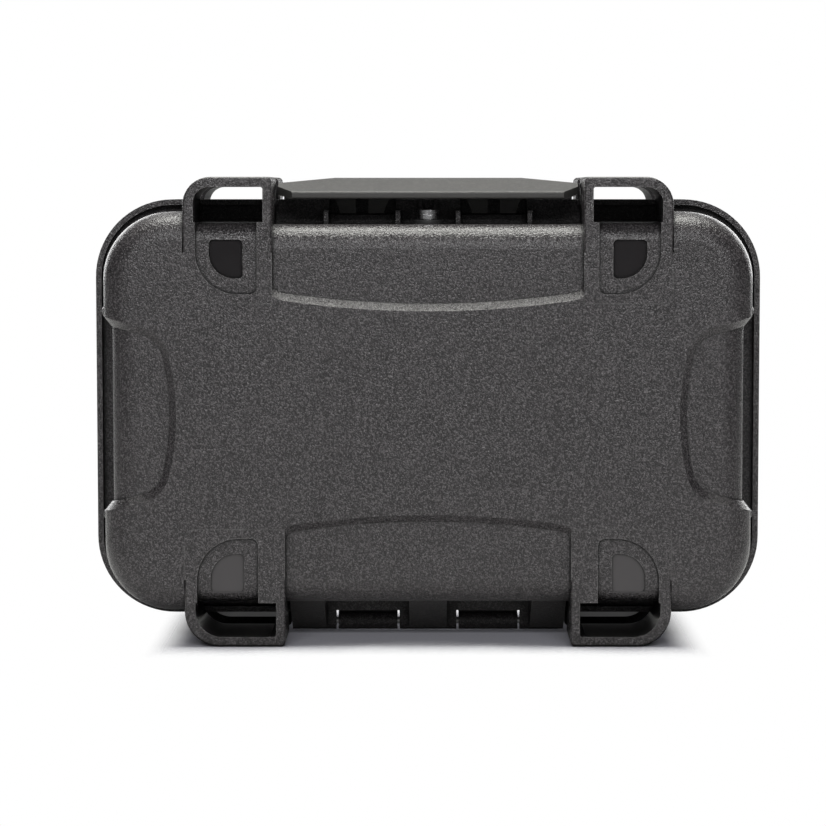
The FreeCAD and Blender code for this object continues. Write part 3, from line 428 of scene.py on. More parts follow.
class MirrorBox(Effect):
    """Inside of a box with upright round corners, mirrored left to right and base to lid."""

    name = "mirror_box"
    inputs = {"Vector": "Vector", "Middle": "Vector", "Half": "Vector", "Corner": "Float"}
    outputs = {"Mask": "Float"}
    depth_weight = (1.0, 1000.0, 1.0)

    def fill(self) -> Sockets:
        """Measure how far a place lies from the box's core, with no rounding in depth.

        Returns:
            The mask, 1 inside the box.
        """
        given, corner = self.given, self.given["Corner"]
        folded = self.vector("ABSOLUTE", given["Vector"])
        away = self.vector("ABSOLUTE", self.vector("SUBTRACT", folded, given["Middle"]))
        margin = self.add("ShaderNodeCombineXYZ", {0: corner, 2: corner})[0]
        core = self.vector("SUBTRACT", given["Half"], margin)
        over = self.vector("MAXIMUM", self.vector("SUBTRACT", away, core), (0.0, 0.0, 0.0))
        reach = self.vector("LENGTH", self.vector("MULTIPLY", over, self.depth_weight))
        return {"Mask": self.maths("LESS_THAN", reach, corner)}


class Effects:
    """The shared effects, each built once."""

    def __init__(self) -> None:
        """Build every effect."""
        self.grain = MouldedGrain().tree
        self.tone = ToneDrift().tree
        self.rub = EdgeRub().tree
        self.crevice = CreviceShade().tree
        self.dust = SettledDust().tree
        self.lines = DrawingLines().tree
        self.box = MirrorBox().tree


class Bench(NodeSheet):
    """A material in the making, with its principled shader and the shared effects."""

    def __init__(self, name: str, effects: Effects) -> None:
        """Start a material.

        Args:
            name: The material's name.
            effects: The shared effects.
        """
        self.material = bpy.data.materials.new(name)
        self.material.use_nodes = True
        super().__init__(self.material.node_tree)
        nodes = self.tree.nodes
        self.shader = next(node for node in nodes if node.type == "BSDF_PRINCIPLED").inputs
        source = self.add("ShaderNodeTexCoord")
        self.place, self.facing = source["Object"], source["Normal"]
        self.effects = effects

    def surface(self, colour: Feed, rough: Feed, height: Feed, relief: float,
                strength: float = 1.0) -> None:
        """Set the shader's colour, roughness and relief.

        Args:
            colour: Its colour.
            rough: Its roughness.
            height: Height of the relief, from 0 to about 1.
            relief: Depth of the relief, in metres.
            strength: Share of the relief that shows.
        """
        feeds = {"Height": height, "Strength": strength, "Distance": relief}
        normal = self.add("ShaderNodeBump", feeds)[0]
        for name, source in (("Base Color", colour), ("Roughness", rough), ("Normal", normal)):
            self.feed(self.shader[name], source)


class Look:
    """The recipe of a material whose colour and gloss drift."""

    name: str
    colour: Colour
    spread: float
    roughness: float

    def material(self, effects: Effects) -> Material:
        """Build the material.

        Args:
            effects: The shared effects.

        Returns:
            The finished material.
        """
        sheet = Bench(self.name, effects)
        tone = sheet.group(effects.tone, Vector=sheet.place, Colour=self.colour,
                           Spread=self.spread, Roughness=self.roughness)
        self.paint(sheet, tone)
        return sheet.material

    def paint(self, sheet: Bench, tone: NodeOutputs) -> None:
        """Set the shader up.

        Args:
            sheet: The material in the making.
            tone: Its drifting colour and roughness.
        """
        raise NotImplementedError


@dataclass(frozen=True)
class SmoothZone:
    """A box, given in one quarter of the case, where the mould was polished."""

    middle: Place
    half: Place
    corner: float
    roughness: float
    # Share of painted glints in the zone.
    painted_glint_share: float = 0.0
    # Whether the painted pocket shade reaches into the zone.
    darkens: bool = True


@dataclass(frozen=True)
class ZoneMasks:
    """What polished zones change: where grain and painted pocket shade show, and their own looks.
    """

    grained: Feed = 1.0
    painted_glints: Feed = 0.0
    roughness: Feed = 0.0
    pockets: Feed = 1.0


# Reach and occlusion levels of the painted shade in crevices and in deep pockets.
CREVICE = {"Reach": 0.0016, "Dark": 0.55, "Clear": 0.9, "Strength": 0.95}
POCKET = {"Reach": 0.025, "Dark": 0.3, "Clear": 0.55}


@dataclass(frozen=True)
class MouldedPlastic(Look):
    """Grained dark plastic with painted glints, worn edges, a little dust and painted shade."""

    name: str
    colour: Colour
    painted_glint: Colour
    rubbed: Colour
    grain: float
    relief: float
    roughness: float
    painted_glint_share: float
    rub: float = 0.5
    # Strength of the painted shade in deep pockets.
    pocket: float = 0.0
    zones: tuple[SmoothZone, ...] = ()
    spread: float = 0.18
    rub_width: float = 0.0009
    rub_polish: float = -0.12
    dust: float = 0.2
    dust_colour: Colour = (0.19, 0.185, 0.175, 1.0)
    # Colour and roughness of the painted shade.
    shade_colour: Colour = grey(0.004)
    shade_roughness: float = 0.5
    grain_roughness: float = 0.06
    shine: float = 0.5

    def paint(self, sheet: Bench, tone: NodeOutputs) -> None:
        """Lay painted glints, wear, dust and painted shade over the tone, and raise the grain.

        Args:
            sheet: The material in the making.
            tone: Its drifting colour and roughness.
        """
        effects, place = sheet.effects, sheet.place
        grain = sheet.group(effects.grain, Vector=place, Scale=self.grain)
        rub = sheet.group(effects.rub, Vector=place, Width=self.rub_width, Strength=self.rub)[0]
        dust = sheet.group(effects.dust, Vector=place, Facing=sheet.facing, Strength=self.dust)[0]
        # Painted shade: crevices and deep pockets, found by ambient occlusion, turn near black.
        crevice = sheet.group(effects.crevice, **CREVICE)[0]
        pocket = sheet.group(effects.crevice, **POCKET, Strength=self.pocket)[0]
        masks = self.polished(sheet)
        pocket = sheet.maths("MULTIPLY", pocket, masks.pockets)
        shade = sheet.maths("MAXIMUM", crevice, pocket)
        # The flecks are painted glints: pale specks that stand in for light catching the grain.
        painted_glints = sheet.maths("MULTIPLY", grain["PaintedGlint"], self.painted_glint_share)
        painted_glints = sheet.maths("MULTIPLY_ADD", painted_glints, masks.grained, masks.painted_glints)
        colour = tone["Colour"]
        for share, layer in ((painted_glints, self.painted_glint), (rub, self.rubbed), (dust, self.dust_colour),
                             (shade, self.shade_colour)):
            colour = sheet.mix(share, colour, layer)
        rough = tone["Roughness"]
        for mask, change in ((grain["Height"], self.grain_roughness),
                             (shade, self.shade_roughness), (rub, self.rub_polish)):
            rough = sheet.maths("MULTIPLY_ADD", mask, change, rough)
        rough = sheet.maths("MULTIPLY_ADD", rough, masks.grained, masks.roughness, clamp=True)
        height = sheet.maths("MULTIPLY", grain["Height"], masks.grained)
        sheet.surface(colour, rough, height, self.relief)
        # Deep pockets also lose their specular level, so the painted shade stays dark.
        shine = sheet.maths("MULTIPLY_ADD", pocket, -self.shine, self.shine, clamp=True)
        sheet.feed(sheet.shader["Specular IOR Level"], shine)

    def polished(self, sheet: Bench) -> ZoneMasks:
        """Find where the surface keeps its grain, and how its polished zones look.

        Args:
            sheet: The material in the making.

        Returns:
            The masks of the zones.
        """
        masks = ZoneMasks()
        for zone in self.zones:
            inside = sheet.group(sheet.effects.box, Vector=sheet.place, Middle=zone.middle,
                                 Half=zone.half, Corner=zone.corner)[0]
            pockets = masks.pockets
            if not zone.darkens:
                pockets = sheet.maths("SUBTRACT", pockets, inside)
            masks = ZoneMasks(
                sheet.maths("SUBTRACT", masks.grained, inside),
                sheet.maths("MULTIPLY_ADD", inside, zone.painted_glint_share, masks.painted_glints),
                sheet.maths("MULTIPLY_ADD", inside, zone.roughness, masks.roughness), pockets)
        return masks


@dataclass(frozen=True)
class DrawnMetal(Look):
    """Metal with drawing lines, slight stains and polished edges."""

    name: str
    colour: Colour
    stain: Colour
    stretch: Place
    roughness: float
    spread: float = 0.16
    stain_share: float = 0.3
    rub: float = 0.6
    rub_width: float = 0.0004
    rubbed: Colour = grey(0.72)
    line_roughness: float = 0.16
    relief: float = 0.00003
    relief_share: float = 0.8

    def paint(self, sheet: Bench, tone: NodeOutputs) -> None:
        """Draw the lines and polish the edges.

        Args:
            sheet: The material in the making.
            tone: Its drifting colour and roughness.
        """
        effects, place = sheet.effects, sheet.place
        lines = sheet.group(effects.lines, Vector=place, Stretch=self.stretch)[0]
        rub = sheet.group(effects.rub, Vector=place, Width=self.rub_width, Strength=self.rub)[0]
        stained = sheet.maths("MULTIPLY", lines, self.stain_share)
        colour = sheet.mix(rub, sheet.mix(stained, tone["Colour"], self.stain), self.rubbed)
        rough = sheet.maths("MULTIPLY_ADD", lines, self.line_roughness, tone["Roughness"])
        sheet.surface(colour, rough, lines, self.relief, self.relief_share)
        sheet.feed(sheet.shader["Metallic"], 1.0)


@dataclass(frozen=True)
class SealRubber(Look):
    """Matt rubber with a powdery bloom."""

    name: str
    colour: Colour
    bloom: Colour
    spread: float = 0.3
    roughness: float = 0.68
    bloom_noise: Place = (480.0, 5.0, 0.7)
    bloom_span: Span = (0.48, 0.72)
    bloom_share: float = 0.4
    bloom_roughness: float = 0.3
    dust: float = 0.25
    skin_noise: Place = (2600.0, 3.0, 0.6)
    relief: float = 0.00008
    relief_share: float = 0.7

    def paint(self, sheet: Bench, tone: NodeOutputs) -> None:
        """Lay bloom and dust over the tone, and raise the skin.

        Args:
            sheet: The material in the making.
            tone: Its drifting colour and roughness.
        """
        powder = sheet.noise(sheet.place, *self.bloom_noise)
        bloom = sheet.step(powder, *self.bloom_span, 0.0, self.bloom_share)
        dust = sheet.group(sheet.effects.dust, Vector=sheet.place, Facing=sheet.facing,
                           Strength=self.dust)[0]
        colour = sheet.mix(sheet.maths("MAXIMUM", bloom, dust), tone["Colour"], self.bloom)
        rough = sheet.maths("MULTIPLY_ADD", bloom, self.bloom_roughness, tone["Roughness"])
        height = sheet.noise(sheet.place, *self.skin_noise)
        sheet.surface(colour, rough, height, self.relief, self.relief_share)


@dataclass(frozen=True)
class OpenCellFoam(Look):
    """Charcoal foam with open cells, whose pores are painted dark as shade."""

    name: str
    colour: Colour
    pore_shade: Colour
    cells: float
    spread: float = 0.35
    roughness: float = 0.92
    pore_span: Span = (0.15, 0.5)
    pore_share: float = 0.75
    pore_roughness: float = 0.06
    strut_scale: float = 1.9
    strut_layers: Span = (3.0, 0.65)
    strut_height: float = 0.5
    relief: float = 0.0005
    shine: float = 0.2
    sheen: float = 0.15
    sheen_roughness: float = 0.6

    def paint(self, sheet: Bench, tone: NodeOutputs) -> None:
        """Sink the pores between the struts and paint shade into them.

        Args:
            sheet: The material in the making.
            tone: Its drifting colour and roughness.
        """
        # The pores' darkness is painted shade in the open cells.
        pores = sheet.step(sheet.cells(sheet.place, self.cells), *self.pore_span, 1.0, 0.0)
        share = sheet.maths("MULTIPLY", pores, self.pore_share)
        colour = sheet.mix(share, tone["Colour"], self.pore_shade)
        rough = sheet.maths("MULTIPLY_ADD", pores, self.pore_roughness, tone["Roughness"],
                            clamp=True)
        struts = sheet.noise(sheet.place, self.cells * self.strut_scale, *self.strut_layers)
        height = sheet.maths("MULTIPLY", struts, self.strut_height)
        sheet.surface(colour, rough, sheet.maths("SUBTRACT", height, pores), self.relief)
        sheet.feed(sheet.shader["Specular IOR Level"], self.shine)
        sheet.feed(sheet.shader["Sheen Weight"], self.sheen)
        sheet.feed(sheet.shader["Sheen Roughness"], self.sheen_roughness)


SEAT_HALF = (0.0062, 0.00025, 0.0071)
TOP_SEAT = SmoothZone((0.0709, 0.0380, 0.1370), SEAT_HALF, 0.0004, roughness=0.08)
BOTTOM_SEAT = SmoothZone((0.0709, 0.0380, 0.0261), SEAT_HALF, 0.0004, roughness=0.3,
                         painted_glint_share=0.5)
TOP_BORE = SmoothZone((0.07005, 0.0240, 0.15605), (0.01245, 0.0157, 0.00645), 0.004,
                      roughness=0.28)
BOTTOM_BORE = SmoothZone((0.06795, 0.0240, 0.00955), (0.01455, 0.0157, 0.00635), 0.004,
                         roughness=0.28)
HOLLOW = SmoothZone((0.0, 0.0, 0.0819), (0.1094, 0.0348, 0.0647), 0.0186, roughness=0.42,
                    darkens=False)
BLACK_PLASTIC = (0.0228, 0.021, 0.0224, 1.0)

FINISHES = {
    Finish.SHELL: MouldedPlastic(
        "shell_plastic_grained", BLACK_PLASTIC, painted_glint=(0.1115, 0.103, 0.1085, 1.0),
        rubbed=(0.1, 0.096, 0.098, 1.0), grain=1350.0, relief=0.00016, roughness=0.15,
        painted_glint_share=1.0, pocket=0.45, zones=(HOLLOW,)),
    Finish.BUMPER: MouldedPlastic(
        "bumper_plastic_grained", BLACK_PLASTIC, painted_glint=(0.1135, 0.105, 0.1105, 1.0),
        rubbed=(0.14, 0.136, 0.137, 1.0), grain=1300.0, relief=0.00016, roughness=0.15,
        painted_glint_share=1.0, rub=0.8, pocket=0.9,
        zones=(TOP_SEAT, BOTTOM_SEAT, TOP_BORE, BOTTOM_BORE)),
    Finish.LEVER: MouldedPlastic(
        "lever_plastic_satin", (0.042, 0.041, 0.0395, 1.0), painted_glint=(0.082, 0.08, 0.076, 1.0),
        rubbed=(0.11, 0.108, 0.104, 1.0), grain=2600.0, relief=0.00004, roughness=0.36,
        painted_glint_share=0.3, rub=0.6, pocket=0.4),
    Finish.VALVE: MouldedPlastic(
        "valve_plastic_satin", (0.02, 0.02, 0.021, 1.0), painted_glint=grey(0.07), rubbed=grey(0.11),
        grain=2400.0, relief=0.00005, roughness=0.4, painted_glint_share=0.25),
    Finish.GASKET: SealRubber(
        "gasket_rubber_bloomed", (0.016, 0.016, 0.017, 1.0), bloom=(0.075, 0.073, 0.07, 1.0)),
    Finish.PIN: DrawnMetal(
        "pin_steel_drawn", (0.55, 0.55, 0.56, 1.0), stain=(0.3, 0.29, 0.28, 1.0),
        stretch=(60.0, 4200.0, 4200.0), roughness=0.3),
    Finish.KNOB: DrawnMetal(
        "valve_metal_turned", (0.5, 0.5, 0.51, 1.0), stain=(0.36, 0.355, 0.35, 1.0),
        stretch=(700.0, 700.0, 6500.0), roughness=0.2),
    Finish.FOAM: OpenCellFoam(
        "foam_charcoal_cells", (0.05, 0.05, 0.052, 1.0), pore_shade=(0.008, 0.008, 0.009, 1.0),
        cells=1250.0),
}


class Wardrobe:
    """The case's materials, one to each finish."""

    def __init__(self) -> None:
        """Build every material once."""
        effects = Effects()
        self.materials = {finish: look.material(effects) for finish, look in FINISHES.items()}

    def dress(self, piece: Object, finish: Finish) -> None:
        """Give a piece one finish all over.

        Args:
            piece: The object to dress.
            finish: Its finish.
        """
        if not piece.material_slots:
            piece.data.materials.append(self.materials[finish])
        for slot in piece.material_slots:
            slot.material = self.materials[finish]
        LOG.info("%s wears %s", piece.name, finish.value)


class RepeatTree(NodeSheet):
    """A Geometry Nodes tree that repeats or shapes part of a piece."""

    name = "repeat"
    sizes: dict[str, str] = {}

    def __init__(self) -> None:
        """Make the tree with its named inputs and fill it in."""
        super().__init__(bpy.data.node_groups.new(self.name, "GeometryNodeTree"))
        kinds = {"Geometry": "Geometry", **self.sizes, "Material": "Material"}
        face = self.tree.interface
        self.keys = {}
        for name, kind in kinds.items():
            socket = face.new_socket(name=name, in_out="INPUT", socket_type=f"NodeSocket{kind}")
            self.keys[name] = socket.identifier
        face.new_socket(name="Geometry", in_out="OUTPUT", socket_type="NodeSocketGeometry")
        self.given = self.add("NodeGroupInput")
        real = self.add("GeometryNodeRealizeInstances", {"Geometry": self.fill()})[0]
        dressing = {"Geometry": real, "Material": self.given["Material"]}
        self.add("NodeGroupOutput", {0: self.add("GeometryNodeSetMaterial", dressing)[0]})

    def fill(self) -> NodeSocket:
        """Add the tree's own nodes.

        Returns:
            The output with the geometry.
        """
        raise NotImplementedError

    def grow(self, name: str, start: Mesh, values: dict[str, Feed]) -> Object:
        """Run the tree on a mesh and keep the result as a plain mesh.

        Args:
            name: Name of the finished piece.
            start: The mesh that it starts from.
            values: The tree's inputs, by name.

        Returns:
            The finished piece.
        """
        seed = put(f"{name}_start", start)
        modifier = seed.modifiers.new(self.name, "NODES")
        modifier.node_group = self.tree
        for key, setting in values.items():
            modifier[self.keys[key]] = setting
        graph = bpy.context.evaluated_depsgraph_get()
        mesh = bpy.data.meshes.new_from_object(seed.evaluated_get(graph), depsgraph=graph)
        bpy.data.objects.remove(seed)
        mesh.name = name
        return put(name, mesh)


class EggCrate(RepeatTree):
    """Waves that stand on the crown of a foam pad."""

    name = "egg_crate_waves"
    sizes = {"Pitch": "Float", "Height": "Float", "Middle": "Float"}
    fullness = 0.85

    def fill(self) -> NodeSocket:
        """Sink the crown between its peaks.

        Returns:
            The output with the waved pad.
        """
        given = self.given
        x, _, z = self.add("ShaderNodeSeparateXYZ", {0: self.add("GeometryNodeInputPosition")[0]})
        turn = self.maths("DIVIDE", math.tau, given["Pitch"])
        upright = self.maths("SUBTRACT", z, given["Middle"])
        across, along = (self.maths("COSINE", self.maths("MULTIPLY", way, turn))
                         for way in (x, upright))
        wave = self.maths("MULTIPLY_ADD", self.maths("MULTIPLY", across, along), -0.5, 0.5)
        soft = self.maths("POWER", wave, self.fullness)
        marked = {"Name": "crown"}
        crown = self.add("GeometryNodeInputNamedAttribute", marked, data_type="FLOAT")[0]
        depth = self.maths("MULTIPLY", self.maths("MULTIPLY", soft, crown), given["Height"])
        offset = self.add("ShaderNodeCombineXYZ", {1: depth})[0]
        moved = {"Geometry": given["Geometry"], "Offset": offset}
        return self.add("GeometryNodeSetPosition", moved)[0]


class PluckBlocks(RepeatTree):
    """Pre-cut foam blocks that fill the tray of a pad."""

    name = "pluck_blocks"
    sizes = {"Pitch": "Float", "Kerf": "Float", "Thick": "Float", "Columns": "Int",
             "Rows": "Int", "Place": "Vector", "Unevenness": "Float"}
    softening = {"Level": 2, "Edge Crease": 0.86}
    draw = 11

    def fill(self) -> NodeSocket:
        """Set a softened block on each point of a grid and join them to the tray.

        Returns:
            The output with the tray and its blocks.
        """
        given, pitch, uneven = self.given, self.given["Pitch"], self.given["Unevenness"]
        wide, high = (self.maths("MULTIPLY", self.maths("SUBTRACT", given[name], 1.0), pitch)
                      for name in ("Columns", "Rows"))
        counts = {"Size X": wide, "Size Y": high, "Vertices X": given["Columns"],
                  "Vertices Y": given["Rows"]}
        stood = {"Geometry": self.add("GeometryNodeMeshGrid", counts)[0],
                 "Translation": given["Place"], "Rotation": (math.pi / 2, 0.0, 0.0)}
        upright = self.add("GeometryNodeTransform", stood)[0]
        side = self.maths("SUBTRACT", pitch, given["Kerf"])
        size = self.add("ShaderNodeCombineXYZ", {0: side, 1: given["Thick"], 2: side})[0]
        softened = {"Mesh": self.add("GeometryNodeMeshCube", {"Size": size})[0], **self.softening}
        block = self.add("GeometryNodeSubdivisionSurface", softened)[0]
        limits = {2: self.maths("MULTIPLY", uneven, -1.0), 3: uneven, "Seed": self.draw}
        jitter = self.add("FunctionNodeRandomValue", limits, data_type="FLOAT")[1]
        lift = self.add("ShaderNodeCombineXYZ", {1: jitter})[0]
        points = self.add("GeometryNodeSetPosition", {"Geometry": upright, "Offset": lift})[0]
        copies = {"Points": points, "Instance": block}
        blocks = self.add("GeometryNodeInstanceOnPoints", copies)[0]
        joined = self.add("GeometryNodeJoinGeometry")[0]
        for shape in (given["Geometry"], blocks):
            self.feed(joined.node.inputs[0], shape)
        return joined


def rounded_outline(half: float, low: float, high: float, corner: float,
                    steps: int) -> list[Span]:
    """List the points of an upright rounded rectangle, anticlockwise.

    Args:
        half: Half of its width.
        low: Its lower edge.
        high: Its upper edge.
        corner: Radius of its corners.
        steps: Sides to each corner.

    Returns:
        The points as X and Z.
    """
    points = []
    middles = ((half - corner, low + corner), (half - corner, high - corner),
               (corner - half, high - corner), (corner - half, low + corner))
    for quarter, (x, z) in enumerate(middles):
        for step in range(steps + 1):
            angle = math.pi / 2 * (quarter - 1 + step / steps)
            points.append((x + corner * math.cos(angle), z + corner * math.sin(angle)))
    return points


def skin(shape: bmesh.types.BMesh, lower: Sequence[bmesh.types.BMVert],
         upper: Sequence[bmesh.types.BMVert]) -> None:
    """Close the gap between two rings of equal count.

    Args:
        shape: The shape that holds them.
        lower: One ring.
        upper: The other ring.
    """
    for index in range(len(lower)):
        after = (index + 1) % len(lower)
        shape.faces.new((lower[index], lower[after], upper[after], upper[index]))


def finished_mesh(name: str, shape: bmesh.types.BMesh) -> Mesh:
    """Turn a closed shape into a mesh that faces outwards.

    Args:
        name: Name of the mesh.
        shape: The shape, which is used up.

    Returns:
        The mesh.
    """
    bmesh.ops.recalc_face_normals(shape, faces=shape.faces)
    mesh = bpy.data.meshes.new(name)
    shape.to_mesh(mesh)
    shape.free()
    return mesh


@dataclass
class FoamPads:
    """The two foam pads: cut blocks in the base, an egg-crate pad in the lid."""

    wardrobe: Wardrobe
    half_width: float = 0.10225
    low: float = 0.0244
    high: float = 0.1394
    corner: float = 0.010
    corner_steps: int = 8
    edge: float = 0.0016
    edge_steps: int = 5
    pitch: float = 0.012
    kerf: float = 0.0006
    columns: int = 16
    rows: int = 8
    unevenness: float = 0.00018
    tray_floor: float = 0.0034
    well_corner: float = 0.0008
    well_lip: float = 0.0006
    wave_pitch: float = 0.0185
    wave_height: float = 0.0064
    cell: float = 0.0016

    @property
    def middle(self) -> float:
        """Give the height of the pads' middle."""
        return (self.low + self.high) / 2

    def build(self) -> None:
        """Make both pads and put them in place of the plain ones."""
        self.keep(self.base_pad(), "base_foam", Body.BASE)
        self.keep(self.lid_pad(), "lid_foam", Body.LID)

    def keep(self, piece: Object, node: str, body: Body) -> None:
        """Hand a pad over to its body.

        Args:
            piece: The finished pad.
            node: The plain pad that it stands for.
            body: The body that it moves with.
        """
        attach(piece, body.value)
        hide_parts(node)
        LOG.info("%s stands for %s", piece.name, node)

    def base_pad(self) -> Object:
        """Make a tray with softened edges and fill it with cut blocks.

        Returns:
            The base's pad.
        """
        lowest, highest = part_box("base_foam")
        back, crown = lowest.y, highest.y
        floor = back + self.tray_floor
        shape = bmesh.new()
        rows = [[shape.verts.new(point) for point in ring]
                for ring in self.tray_rings(back, crown, floor)]
        for lower, upper in zip(rows, rows[1:]):
            skin(shape, lower, upper)
        shape.faces.new(rows[0][::-1])
        shape.faces.new(rows[-1])
        tray = finished_mesh("base_foam_tray", shape)
        thick = crown - floor
        values = {"Pitch": self.pitch, "Kerf": self.kerf, "Thick": thick,
                  "Columns": self.columns, "Rows": self.rows,
                  "Place": (0.0, floor + thick / 2, self.middle),
                  "Unevenness": self.unevenness,
                  "Material": self.wardrobe.materials[Finish.FOAM]}
        return PluckBlocks().grow("base_foam_pad", tray, values)

    def tray_rings(self, back: float, crown: float, floor: float) -> list[list[Place]]:
        """List the rings of the tray, up its outside and down into its well.

        Args:
            back: Depth of the tray's back.
            crown: Depth of its crown.
            floor: Depth of its well's floor.

        Returns:
            The rings' points.
        """
        profile = [(0.0, back), (0.0, crown - self.edge)]
        for step in range(1, self.edge_steps + 1):
            angle = math.pi / 2 * step / self.edge_steps
            profile.append((self.edge * (1 - math.cos(angle)),
                            crown - self.edge * (1 - math.sin(angle))))
        outlines = [(y, self.half_width - inset, self.low + inset, self.high - inset,
                     self.corner - inset) for inset, y in profile]
        well_half = self.columns * self.pitch / 2 + self.kerf
        well_rise = self.rows * self.pitch / 2 + self.kerf
        lip = self.well_lip
        for y, grow in ((crown, lip), (crown - lip, 0.0), (floor, 0.0)):
            outlines.append((y, well_half + grow, self.middle - well_rise - grow,
                             self.middle + well_rise + grow, self.well_corner + grow))
        return [[(x, y, z) for x, z in rounded_outline(*outline, self.corner_steps)]
                for y, *outline in outlines]

    def lid_pad(self) -> Object:
        """Make a pad with a fine crown and raise the egg-crate waves on it.

        Returns:
            The lid's pad.
        """
        lowest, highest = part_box("lid_foam")
        crown, back = lowest.y, highest.y
        shape = bmesh.new()
        layer = shape.verts.layers.float.new("crown")
        across = round(2 * self.half_width / self.cell)
        upward = round((self.high - self.low) / self.cell)
        grid = []
        for row in range(upward + 1):
            z = self.low + (self.high - self.low) * row / upward
            from_end = min(z - self.low, self.high - z, self.corner)
            bulge = math.sqrt(max(self.corner ** 2 - (self.corner - from_end) ** 2, 0.0))
            half = self.half_width - self.corner + bulge
            line = []
            for column in range(across + 1):
                x = half * (2 * column / across - 1)
                vertex = shape.verts.new((x, crown + self.edge_drop(x, z), z))
                vertex[layer] = 1.0
                line.append(vertex)
            grid.append(line)
        for lower, upper in zip(grid, grid[1:]):
            for column in range(across):
                shape.faces.new((*lower[column:column + 2], *upper[column:column + 2][::-1]))
        right, left = [line[-1] for line in grid[1:-1]], [line[0] for line in grid[-2:0:-1]]
        border = grid[0] + right + grid[-1][::-1] + left
        feet = [shape.verts.new((vertex.co.x, back, vertex.co.z)) for vertex in border]
        skin(shape, feet, border)
        shape.faces.new(feet)
        mesh = finished_mesh("lid_foam_blank", shape)
        smooth = [len(face.vertices) == 4 for face in mesh.polygons]
        mesh.polygons.foreach_set("use_smooth", smooth)
        values = {"Pitch": self.wave_pitch, "Height": self.wave_height, "Middle": self.middle,
                  "Material": self.wardrobe.materials[Finish.FOAM]}
        return EggCrate().grow("lid_foam_pad", mesh, values)

    def edge_drop(self, x: float, z: float) -> float:
        """Give the fall of the pad's crown towards its outline.

        Args:
            x: Place across the pad.
            z: Place up the pad.

        Returns:
            How far the crown falls there.
        """
        rise = (self.high - self.low) / 2
        over = Vector((abs(x) - self.half_width + self.corner,
                       abs(z - self.middle) - rise + self.corner))
        outside = Vector((max(over.x, 0.0), max(over.y, 0.0))).length
        inside = self.corner - outside - min(max(over.x, over.y), 0.0)
        short = max(self.edge - inside, 0.0)
        return self.edge - math.sqrt(max(self.edge ** 2 - short ** 2, 0.0))


@dataclass
class Hardware:
    """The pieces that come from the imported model, each with its finish."""

    wardrobe: Wardrobe
    named: dict[str, Finish] = field(default_factory=lambda: {
        "base_shell": Finish.SHELL, "lid_shell": Finish.SHELL,
        "latch_lever": Finish.LEVER, "lid_gasket": Finish.GASKET,
        "purge_valve_housing": Finish.VALVE, "purge_valve_seal": Finish.GASKET,
        "purge_valve_nut": Finish.VALVE, "purge_valve_knob": Finish.KNOB})
    families: dict[str, Finish] = field(default_factory=lambda: {
        "_bumper_": Finish.BUMPER, "_pin_": Finish.PIN})

    def dress(self) -> None:
        """Dress every piece that stays as it is."""
        for name, piece in sorted(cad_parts.items()):
            finish = self.finish_of(name)
            if finish is not None:
                self.wardrobe.dress(piece, finish)

    def finish_of(self, name: str) -> Optional[Finish]:
        """Look up a piece's finish.

        Args:
            name: The piece's name.

        Returns:
            Its finish, or nothing for the pads.
        """
        family = next((look for part, look in self.families.items() if part in name), None)
        return self.named.get(name, family)


@dataclass(frozen=True)
class Softbox:
    """A rectangular studio lamp."""

    name: str
    place: Place
    aim: Place
    size: Span
    power: float
    colour: Place = (1.0, 1.0, 1.0)

    def build(self) -> None:
        """Set the lamp up."""
        lamp = bpy.data.lights.new(self.name, "AREA")
        lamp.shape = "RECTANGLE"
        lamp.size, lamp.size_y = self.size
        lamp.energy = self.power
        lamp.color = self.colour
        piece = put(self.name, lamp)
        piece.location = self.place
        way = Vector(self.aim) - Vector(self.place)
        piece.rotation_euler = way.to_track_quat("-Z", "Y").to_euler()
        piece.visible_camera = False
        LOG.info("lamp %s", self.name)


def background_share(sheet: NodeSheet, rays: NodeOutputs) -> NodeSocket:
    """Tell the rays that see the pale background from the ones that only light the case.

    Args:
        sheet: The tree to add to.
        rays: Outputs of its light path.

    Returns:
        A mask, 1 for the rays that see the background.
    """
    return sheet.maths("MAXIMUM", rays[Ray.CAMERA.value], rays[Ray.THROUGH.value])


